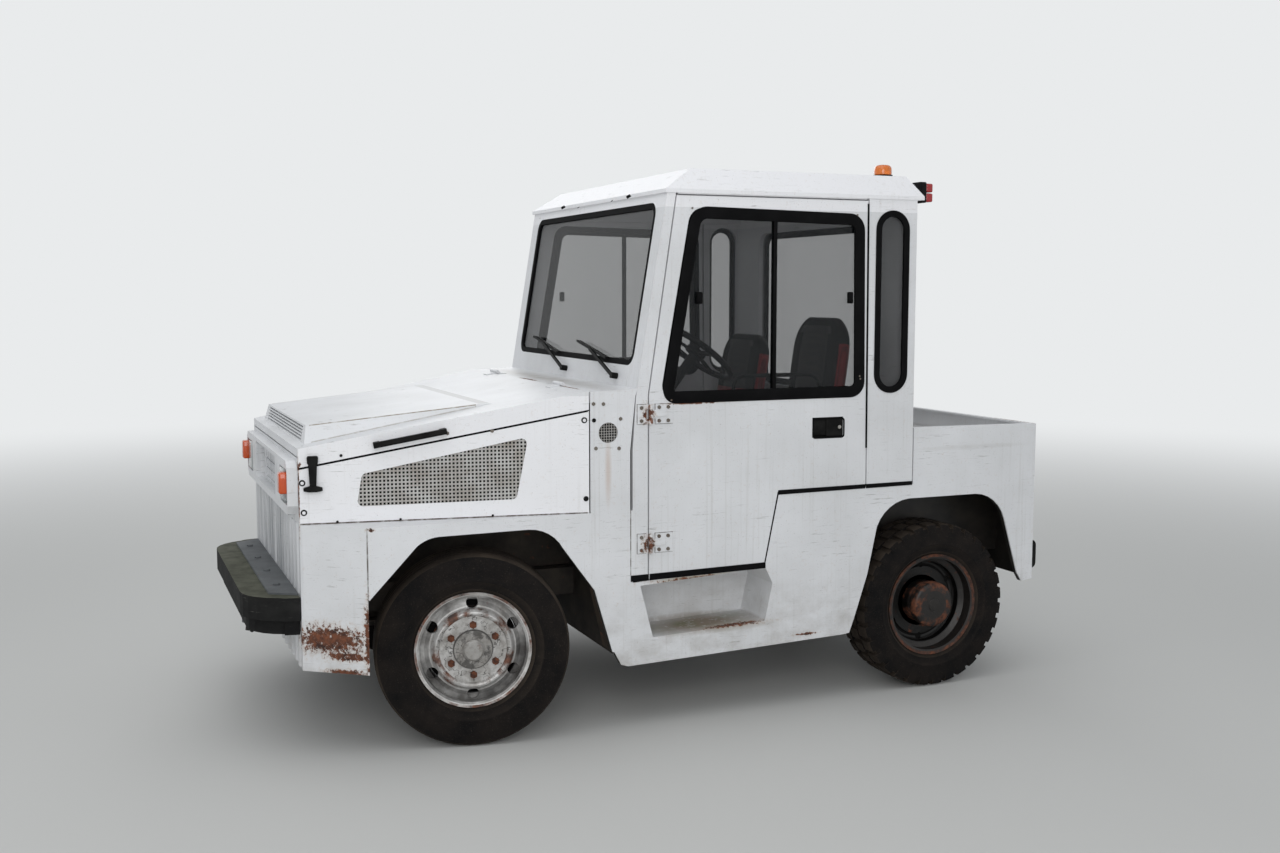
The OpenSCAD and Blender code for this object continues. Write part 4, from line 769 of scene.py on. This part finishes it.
for side, name, body in DOORS:
    # The handle: a tray with a rim, and a paddle that fills the rear half of it.
    handle_bm = bmesh.new()
    tray_size = Matrix.Diagonal((0.1525, 0.0214, 0.0865, 1))
    tray_place = Matrix.Translation(from_axle(-1563, side * 849.2, 1230)) @ tray_size
    bmesh.ops.create_cube(handle_bm, size=1.0, matrix=tray_place)
    mouth = max(handle_bm.faces, key=lambda face: side * face.calc_center_median().y)
    bmesh.ops.delete(handle_bm, geom=[mouth], context="FACES")
    bmesh.ops.solidify(handle_bm, geom=handle_bm.faces[:], thickness=0.0012)
    add_box(handle_bm, from_axle(-1591, side * 839, 1196.5), from_axle(-1492.5, side * 856, 1263.5), 0.003)
    add_box(handle_bm, from_axle(-1638.5, side * 839.5, 1190), from_axle(-1556, side * 861.2, 1270), 0.004, 3)
    make_piece(handle_bm, f"door_handle_{name}", black_plastic, body)
    rim = [(-1648, 1181), (-1486, 1181), (-1486, 1271), (-1648, 1271)]
    seal_piece(f"door_handle_rim_{name}", rim, 15, [flat_at(0, side * 860.8, 0)], 7, 3, body, lip=0.001)
    lock_bm = bmesh.new()
    add_head(lock_bm, from_axle(-1622, side * 860.5, 1229), (0, side, 0), 0.0085, 0.0030, 20)
    make_piece(lock_bm, f"door_lock_{name}", lock_steel, body)
    # Black strips, partly rubber and partly painted shade, under the door, over the rear wheel's step, down
    # the slope between and down the rear edge.
    seal_and_shade_bm = bmesh.new()
    for corners, (inner, outer) in [
        ([(-717, 621), (-1262, 629), (-1262, 655), (-717, 648)], ON_SHEET),
        ([(-1321, 946), (-1759, 949), (-1759, 968), (-1321, 966)], ON_SHEET),
        ([(-1259, 656), (-1263, 656), (-1325, 956), (-1321, 956)], (846, 861.4)),
        ([(-1756, 1130), (-1765, 1130), (-1757, 2200), (-1748, 2200)], (846, 862.4)),
    ]:
        add_strip(seal_and_shade_bm, corners, side, inner, outer)
    soften(make_piece(seal_and_shade_bm, f"door_edge_seals_and_shade_{name}", seal_rubber, body), 0.0008)
    # Hinge straps and bolts.
    strap_bm = bmesh.new()
    bolt_bm = bmesh.new()
    for z in HINGE_HEIGHTS:
        strap = [(-727, z - 13), (-786, z - 9), (-792, z), (-786, z + 9), (-727, z + 13)]
        add_strip(strap_bm, strap, side, 865.5, 872)
        for x in (-757, -798):
            for lift in (-28, 28):
                add_head(bolt_bm, from_axle(x, side * 866, z + lift), (0, side, 0), 0.0085, 0.006, 6)
    soften(make_piece(strap_bm, f"hinge_straps_{name}", enamel_and_shade, body), 0.0015)
    make_piece(bolt_bm, f"hinge_bolts_{name}", bolt_steel, body)
# Rubber lies along the top of the hood's side panels, in the gap under the lid's flanges.
lid_seal_bm = bmesh.new()
sill_seal_and_shade_bm = bmesh.new()
pillar_bolt_bm = bmesh.new()
for side in (-1, 1):
    add_hull(lid_seal_bm, [
        (x, side * (y - back), z + lift)
        for x, y, z in ((-446, 859.8, 1335.5), (679, 690.9, 1135.5)) for back in (0, 9) for lift in (0, 7.6)
    ])
# Further black strips, partly rubber and partly painted shade, lie along the sills before and behind each
# door.
for side in (1, -1):
    add_strip(sill_seal_and_shade_bm, [(-632, 621), (-713, 622), (-713, 648), (-632, 647)], side, *ON_SHEET)
    add_strip(sill_seal_and_shade_bm, [(-1763, 949), (-2005, 951), (-2005, 969), (-1763, 968)], side, *ON_SHEET)
    for z in HINGE_HEIGHTS:
        for lift in (-27, 27):
            add_head(pillar_bolt_bm, from_axle(-678, side * 866, z + lift), (0, side, 0), 0.0085, 0.006, 6)
make_piece(lid_seal_bm, "lid_seals", seal_rubber)
soften(make_piece(sill_seal_and_shade_bm, "sill_seals_and_shade", seal_rubber), 0.0008)
make_piece(pillar_bolt_bm, "pillar_hinge_bolts", bolt_steel)


# Inside the cab.
# Two foam seats in black vinyl with red and charcoal cloth panels, on plain plastic bases.
# A bent grab bar on each door, and a rubber mat.
def cloth(name, thread, shadow, weave_mm):
    """Woven upholstery cloth, its threads crossing at a real pitch."""
    material, tree, shader = start_material(name)
    weave = times(bands(tree, "X", weave_mm), bands(tree, "Y", weave_mm))
    set_node(tree, shader, {
        "Base Color": tinted(weave, shadow, thread), "Roughness": 0.9, "Sheen Weight": 0.25,
        "Normal": bump(weave, 0.3, 0.0006),
    })
    return material


seat_vinyl = moulded_plastic("creased_black_vinyl", "#191919", "#2c2b2a", 0.55)
red_cloth = cloth("red_seat_cloth", "#b3272d", "#6d1319", 2)
dark_cloth = cloth("charcoal_seat_cloth", "#34312e", "#171615", 3)


def cushion(name, size, insert_half, place, round_top=0.0):
    """A crowned foam cushion with a sewn seam round its cloth panel. round_top draws in its far corners."""
    bm = bmesh.new()
    bmesh.ops.create_cube(bm, size=1.0)
    bmesh.ops.subdivide_edges(bm, edges=bm.edges[:], cuts=13, use_grid_fill=True)
    for vert in bm.verts:
        u, v, w = 2 * vert.co.x, 2 * vert.co.y, 2 * vert.co.z
        # The rim rolls over, the middle is crowned, and the seam draws the cover down.
        rounding = max(abs(u), abs(v))
        crown = (1 - u ** 4) * (1 - v ** 4)
        seam = math.exp(-(((abs(v) - insert_half) / 0.07) ** 2))
        height = w * (0.72 + 0.28 * crown) - (0.10 * seam if w > 0.9 else 0)
        roll = 1 - 0.05 * abs(w) ** 3 * (rounding > 0.99)
        # Towards its top a back narrows along an arc.
        arc = max(0.0, (-u - 0.45) / 0.55)
        narrow = 1 - round_top * (1 - math.sqrt(max(0.0, 1 - 0.92 * arc * arc)))
        vert.co = Vector((u * roll * size[0] / 2, v * narrow * roll * size[1] / 2, height * size[2] / 2))
    for face in bm.faces:
        u, v, w = (2 * part / whole for part, whole in zip(face.calc_center_median(), size))
        on_top = w > 0.4
        inside = abs(v) < insert_half and abs(u) < 0.88
        red = on_top and 0.30 < u < 0.52 or abs(v) > 0.96 and abs(u) < 0.7 if round_top else on_top and inside
        face.material_index = 1 if red else 2 if on_top and inside else 0
    bmesh.ops.transform(bm, matrix=place, verts=bm.verts[:])
    piece = make_piece(bm, name, seat_vinyl, sharp_over=80)
    piece.data.materials.append(red_cloth)
    piece.data.materials.append(dark_cloth)
    smooth = piece.modifiers.new("soft_cover", "SUBSURF")
    smooth.levels = 1
    smooth.render_levels = 1
    return piece


BACK_BOTTOM = 1150
for name, y, top in (("driver", 390, 1700), ("passenger", -390, 1600)):
    squab_place = flat_at(-1556, y, 1138) @ Matrix.Rotation(math.radians(-2.2), 4, "Y")
    squab = cushion(f"{name}_seat_squab", (0.508, 0.462, 0.104), 0.56, squab_place)
    rise = (top - BACK_BOTTOM) / 1000
    lean = math.atan(0.075 / rise)
    back_place = flat_at(-1782, y, (top + BACK_BOTTOM) / 2) @ Matrix.Rotation(math.pi / 2 - lean, 4, "Y")
    back = cushion(f"{name}_seat_back", (rise, 0.432, 0.092), 0.58, back_place, 0.62)
    base_bm = bmesh.new()
    add_box(base_bm, from_axle(-1758, y - 168, 968), from_axle(-1382, y + 168, 1086), 0.012, 3)
    base = make_piece(base_bm, f"{name}_seat_base", black_plastic)
    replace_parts(squab, f"{name}_seat")
    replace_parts(back, f"{name}_seat")
    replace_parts(base, f"{name}_seat")


def add_tube(bm, points, radius, sides=12):
    """A bent tube through points, closed at both ends."""
    rings = []
    for index, point in enumerate(points):
        before, after = points[max(index - 1, 0)], points[min(index + 1, len(points) - 1)]
        turn = (after - before).to_track_quat("Z", "Y").to_matrix().to_4x4()
        place = Matrix.Translation(point) @ turn
        made = bmesh.ops.create_circle(bm, segments=sides, radius=radius, matrix=place)
        rings.append(list({edge for corner in made["verts"] for edge in corner.link_edges}))
    for ring, following in zip(rings, rings[1:]):
        bmesh.ops.bridge_loops(bm, edges=ring + following)
    for ring in (rings[0], rings[-1]):
        bmesh.ops.edgeloop_fill(bm, edges=ring)


# A bent steel grab bar, coated black, is bolted inside each door below its window.
bends = [
    (-1132, 826, 1392), (-1132, 800, 1398), (-1138, 790, 1420), (-1152, 788, 1446), (-1176, 788, 1457),
    (-1210, 788, 1459),
]
bends += [(-2692 - x, y, z) for x, y, z in reversed(bends)]
for side, name, body in DOORS:
    rail_bm = bmesh.new()
    add_tube(rail_bm, [from_axle(x, side * y, z) for x, y, z in bends], 0.009)
    make_piece(rail_bm, f"door_grab_bar_{name}", black_plastic, body, 60)
mat_rubber = worn_rubber("gritty_floor_mat", "#1d1c1b", "#3b3833", False)
dress(mat_rubber, "cab_floor")


# Roof drain stubs and blanked holes over the windscreen.
# Two black rubber stubs and two small plugs sit on the slope of the roof's front edge.
HIP_FACING = (0.546, 0, 0.838)
stub_bm = bmesh.new()
for x, y, z, radius, height in [
    (-762, -314, 2224, 0.011, 0.010), (-758, 538, 2221, 0.011, 0.010),
    (-745, -58, 2212, 0.006, 0.002), (-752, 353, 2217, 0.006, 0.002),
]:
    add_head(stub_bm, from_axle(x, y, z), HIP_FACING, radius, height, 16)
make_piece(stub_bm, "roof_stubs", seal_rubber)


# Roof lamps.
# An amber beacon turns on its rubber base, and a red lamp cluster hangs behind each rear corner of the roof.
def add_spun(bm, profile, steps, place, closed=False):
    """A profile of radii and heights, spun round the y axis and put in place. A closed one joins its ends."""
    ring = [bm.verts.new((0, y, radius)) for radius, y in profile]
    edges = [bm.edges.new(pair) for pair in zip(ring, ring[1:] + ring[:1] * closed)]
    bmesh.ops.spin(
        bm, geom=ring + edges, cent=(0, 0, 0), axis=(0, 1, 0), angle=math.tau, steps=steps, use_merge=True
    )
    bmesh.ops.remove_doubles(bm, verts=bm.verts[:], dist=1e-5)
    bmesh.ops.transform(bm, matrix=place, verts=bm.verts[:])


amber_dome = moulded_lens("amber_beacon_dome", "#e8791a", 0.30, 6)
beacon_foot = from_axle(-1932, 690, 2328)
beacon_bm = bmesh.new()
add_spun(beacon_bm, [
    (0.0, 0.012), (0.0385, 0.012), (0.0400, 0.020), (0.0395, 0.040), (0.0365, 0.050), (0.0290, 0.0570),
    (0.0150, 0.0594), (0.0, 0.0598),
], 40, Matrix.Translation(beacon_foot) @ upright_sheet)
beacon_dome = make_piece(beacon_bm, "beacon_dome", amber_dome)
base_bm = bmesh.new()
add_head(base_bm, beacon_foot, UP, 0.046, 0.014, 40, 0.94)
beacon_base = make_piece(base_bm, "beacon_base", seal_rubber)
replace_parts(beacon_dome, "beacon")
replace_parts(beacon_base, "beacon")

red_lens = moulded_lens("fluted_red_acrylic", "#a11418", 0.10, 5)
case_bm = bmesh.new()
lens_bm = bmesh.new()
for y in (-760, 760):
    add_box(case_bm, from_axle(-2074, y - 70, 2214), from_axle(-2036, y + 70, 2306), 0.006, 3)
    for low_z in (2218, 2261):
        add_box(lens_bm, from_axle(-2110, y - 66, low_z), from_axle(-2073, y + 66, low_z + 39), 0.007, 3)
lamp_case = make_piece(case_bm, "tail_lamp_cases", black_plastic)
tail_lens = make_piece(lens_bm, "tail_lamp_lenses", red_lens)
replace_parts(lamp_case, "tail_lamps")
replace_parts(tail_lens, "tail_lamps")


# Wheels.
# Pressed steel discs. The front pair is sprayed silver and blotched with rust, the rear pair dark with soot.
# Each wheel's own frame has its axle along y, outwards. The front pair stands parked to one side.
PARKED = 10
FRONT_RADIUS = 392
REAR_RADIUS = 380


def wheel_place(x, y, z, degrees):
    """A wheel's own frame: its middle in millimetres from the front axle, turned about the upright axis."""
    return Matrix.Translation(from_axle(x, y, z)) @ Matrix.Rotation(math.radians(degrees), 4, "Z")


WHEELS = {
    "front_left": (wheel_place(16.5, 733.56, FRONT_RADIUS, -PARKED), "wheel_fl"),
    "front_right": (wheel_place(-16.5, -733.56, FRONT_RADIUS, 180 - PARKED), "wheel_fr"),
    "rear_left": (wheel_place(-2155, 735, REAR_RADIUS, 0), "wheel_rl"),
    "rear_right": (wheel_place(-2155, -735, REAR_RADIUS, 180), "wheel_rr"),
}


def wheel_steel(name, place, paint, dust, rust_share, hub, nut, ridge, flange):
    """Wheel paint with rust over the disc's ridge, the nuts and the flange, and painted shade in the well and
    behind the disc. Distances are in metres.
    """
    material, tree, shader = start_material(name)
    axle = place.to_3x3() @ Vector((0, 1, 0))
    shifted = vector_maths(tree, "SUBTRACT", own_place(tree), place.translation)
    out = vector_maths(tree, "DOT_PRODUCT", shifted, axle, output="Value")
    off_axle = vector_maths(tree, "CROSS_PRODUCT", shifted, axle)
    radius = vector_maths(tree, "LENGTH", off_axle, output="Value")
    colour = tinted(noise(tree, 15, 0.35, 0.72, 7.0), paint, dust)
    # The flat of the disc is mottled by brake dust, and the ridge round it is worn through.
    mottle = noise(tree, 44, 0.46, 0.62, 8.0)
    colour = laid(colour, hub, between(radius, 0.0, 0.149), mottle, 0.55)
    colour = laid(colour, hub, between(radius, 0.0, 0.079), 0.55)
    # Old paint has crazed on the flat face, and dirt darkens the cracks and the step round the hub.
    crazing = grain(tree, 19.0, 2.5, 0.6)
    cracks = times(between(crazing, 0.490, 0.508), between(radius, 0.046, 0.149))
    smudges = times(between(radius, 0.044, 0.076), noise(tree, 23, 0.47, 0.58))
    step = between(radius, 0.0755, 0.0815)
    colour = laid(colour, "#24211f", strongest(cracks, smudges, step), 0.72)
    # Painted shade darkens the well between the disc and the flange, and everything behind the disc is
    # painted black as shade.
    well_shade = noise(tree, 6, 0.30, 0.62, 4.0)
    colour = laid(colour, "#2e2b29", between(radius, 0.176, 0.2225), well_shade, 0.85)
    behind = between(out, -0.30, 0.024)
    colour = laid(colour, "#0f0e0d", between(radius, 0.05, 0.2215), behind)
    patches = noise(tree, 21, 0.62 - rust_share, 0.72 - rust_share, 8.0)
    worn = times(between(radius, *ridge), noise(tree, 13, 0.46, 0.57, 8.0))
    edge = times(between(radius, flange, 0.300), noise(tree, 11, 0.40, 0.60, 6.0))
    nuts = times(between(radius, 0.0868, 0.1172), between(out, nut, 0.130))
    rust = strongest(times(strongest(patches, worn, edge), 0.9), nuts)
    colour = laid(colour, rust_colours(tree), rust)
    set_node(tree, shader, {
        "Base Color": colour, "Metallic": 0.25, "Roughness": ramp(rust, start=0.40, end=0.85),
        "Normal": bump(strongest(rust, mottle), 0.4, 0.001),
    })
    return material


rear_paints = {}
for name, (place, body) in WHEELS.items():
    if name.startswith("front"):
        rim_paint = wheel_steel(
            f"silver_wheel_paint_{name}", place, "#c6c5c3", "#8f8b86", -0.02,
            hub="#77736d", nut=0.0775, ridge=(0.135, 0.166), flange=0.226,
        )
    else:
        rim_paint = wheel_steel(
            f"sooty_wheel_paint_{name}", place, "#161413", "#241f1c", 0.01,
            hub="#221f1d", nut=0.2, ridge=(0.066, 0.105), flange=0.222,
        )
        rear_paints[name] = rim_paint
    dress(rim_paint, f"rim_{name}")


def tyre_rubber():
    """Old tyre rubber, browned and dusty, with grit pressed into it."""
    material, tree, shader = start_material("dusty_tyre_rubber")
    colour = tinted(noise(tree, 8, 0.33, 0.75, 7.0), "#0d0d0e", "#241f1c")
    # Brown dust clings to the shoulders and the tread more than to the side walls.
    facing = add_node(tree, "SeparateXYZ", {0: own_place(tree, "Normal")})
    rounded = ramp(maths(tree, "ABSOLUTE", facing.outputs["Y"]), 0.93, 0.62)
    colour = laid(colour, "#564c42", rounded, noise(tree, 5, 0.25, 0.70, 6.0), 0.55)
    colour = laid(colour, "#5d554b", noise(tree, 240, 0.62, 0.72, 2.0), 0.3)
    set_node(tree, shader, {
        "Base Color": colour, "Roughness": 0.85, "Specular IOR Level": 0.12,
        "Normal": bump(grain(tree, 260.0, 3.0), 0.3, 0.0008),
    })
    return material


tyre_material = tyre_rubber()


def tyre(name, radius, place, body, crown, lugs):
    """A tyre spun about its axle from its section. lugs is how many blocks stand in each row, or none."""
    bm = bmesh.new()
    half = [
        (0.2225, 0.078), (0.2375, 0.0865), (0.2455, 0.0945), (0.2500, 0.0985), (0.2545, 0.0985),
        (0.2700, 0.1080), (0.2800, 0.1110), (0.2830, 0.1135), (0.2870, 0.1135), (0.2900, 0.1120),
        (0.3150, 0.1145),
        (radius - 0.042, 0.1100), (radius - 0.030, 0.1068),
    ]
    steps = 3 * lugs if lugs else 120
    section = half + crown + [(r, -y) for r, y in reversed(half)]
    add_spun(bm, section, steps, Matrix.Identity(4), closed=True)
    if lugs:
        blocks = []
        for face in bm.faces:
            middle = face.calc_center_median()
            out = math.hypot(middle.x, middle.z)
            row = 0 if abs(middle.y) < 0.030 else 1 if middle.y > 0.042 else 2 if middle.y < -0.042 else None
            if out > radius - 0.0395 and row is not None:
                step = int((math.atan2(middle.x, middle.z) % math.tau) / math.tau * steps)
                if (step + row) % 3:
                    blocks.append(face)
        for vert in moved_verts(bmesh.ops.extrude_face_region(bm, geom=blocks)):
            vert.co += Vector((vert.co.x, 0, vert.co.z)).normalized() * 0.0135
        bmesh.ops.delete(bm, geom=[f for f in blocks if f.is_valid], context="FACES_KEEP_BOUNDARY")
    bmesh.ops.transform(bm, matrix=place, verts=bm.verts[:])
    return make_piece(bm, name, tyre_material, body, 40)


# The front tyres have round ribs between four grooves, and the rear ones have rows of square blocks.
ribs = [(0.380, 0.1040), (0.3885, 0.0930), (0.3912, 0.0780)]
for groove in (0.057, 0.019, -0.019, -0.057):
    ribs += [(0.3918, groove + 0.0060), (0.3905, groove + 0.0045), (0.3820, groove + 0.0034)]
    ribs += [(0.3820, groove - 0.0034), (0.3905, groove - 0.0045), (0.3918, groove - 0.0060)]
ribs += [(0.3912, -0.0780), (0.3885, -0.0930), (0.380, -0.1040)]
carcass = [(0.3605, 0.1030), (0.3650, 0.0920), (0.3660, 0.0680)]
carcass += [(0.3662, 0.0440), (0.3662, 0.0320), (0.3662, 0.0100)]
carcass += [(r, -y) for r, y in reversed(carcass)]
for name, (place, body) in WHEELS.items():
    end, hand = name.split("_")
    radius, crown, lugs = (FRONT_RADIUS, ribs, 0) if end == "front" else (REAR_RADIUS, carcass, 32)
    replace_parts(tyre(f"{end}_tyre_{hand}", radius / 1000, place, body, crown, lugs), f"tyre_{name}")


# Brake plates.
# A black plate behind each wheel disc closes the view through its hand holes, as painted shade.
plate_section = [
    (0.056, -0.030), (0.1880, -0.030), (0.1880, -0.022), (0.150, -0.020), (0.120, -0.010), (0.056, -0.010),
]
for name, (place, body) in WHEELS.items():
    brake_shade_bm = bmesh.new()
    add_spun(brake_shade_bm, plate_section, 48, place, closed=True)
    make_piece(brake_shade_bm, f"brake_shade_plate_{name}", shade_backing, body)


# Rear hub covers.
# A dished cover over each rear hub, its rim chipped to rust.
cover_profile = [
    (0.1050, 0.062), (0.1035, 0.094), (0.0985, 0.1005), (0.0890, 0.1035), (0.0620, 0.1045),
    (0.0300, 0.1050), (0.0285, 0.1075), (0.0220, 0.1085), (0.0, 0.1085),
]
for name, paint in rear_paints.items():
    place, body = WHEELS[name]
    cover_bm = bmesh.new()
    add_spun(cover_bm, cover_profile, 48, place)
    bmesh.ops.edgeloop_fill(cover_bm, edges=[edge for edge in cover_bm.edges if edge.is_boundary])
    make_piece(cover_bm, f"rear_hub_cover_{name[5:]}", paint, body)
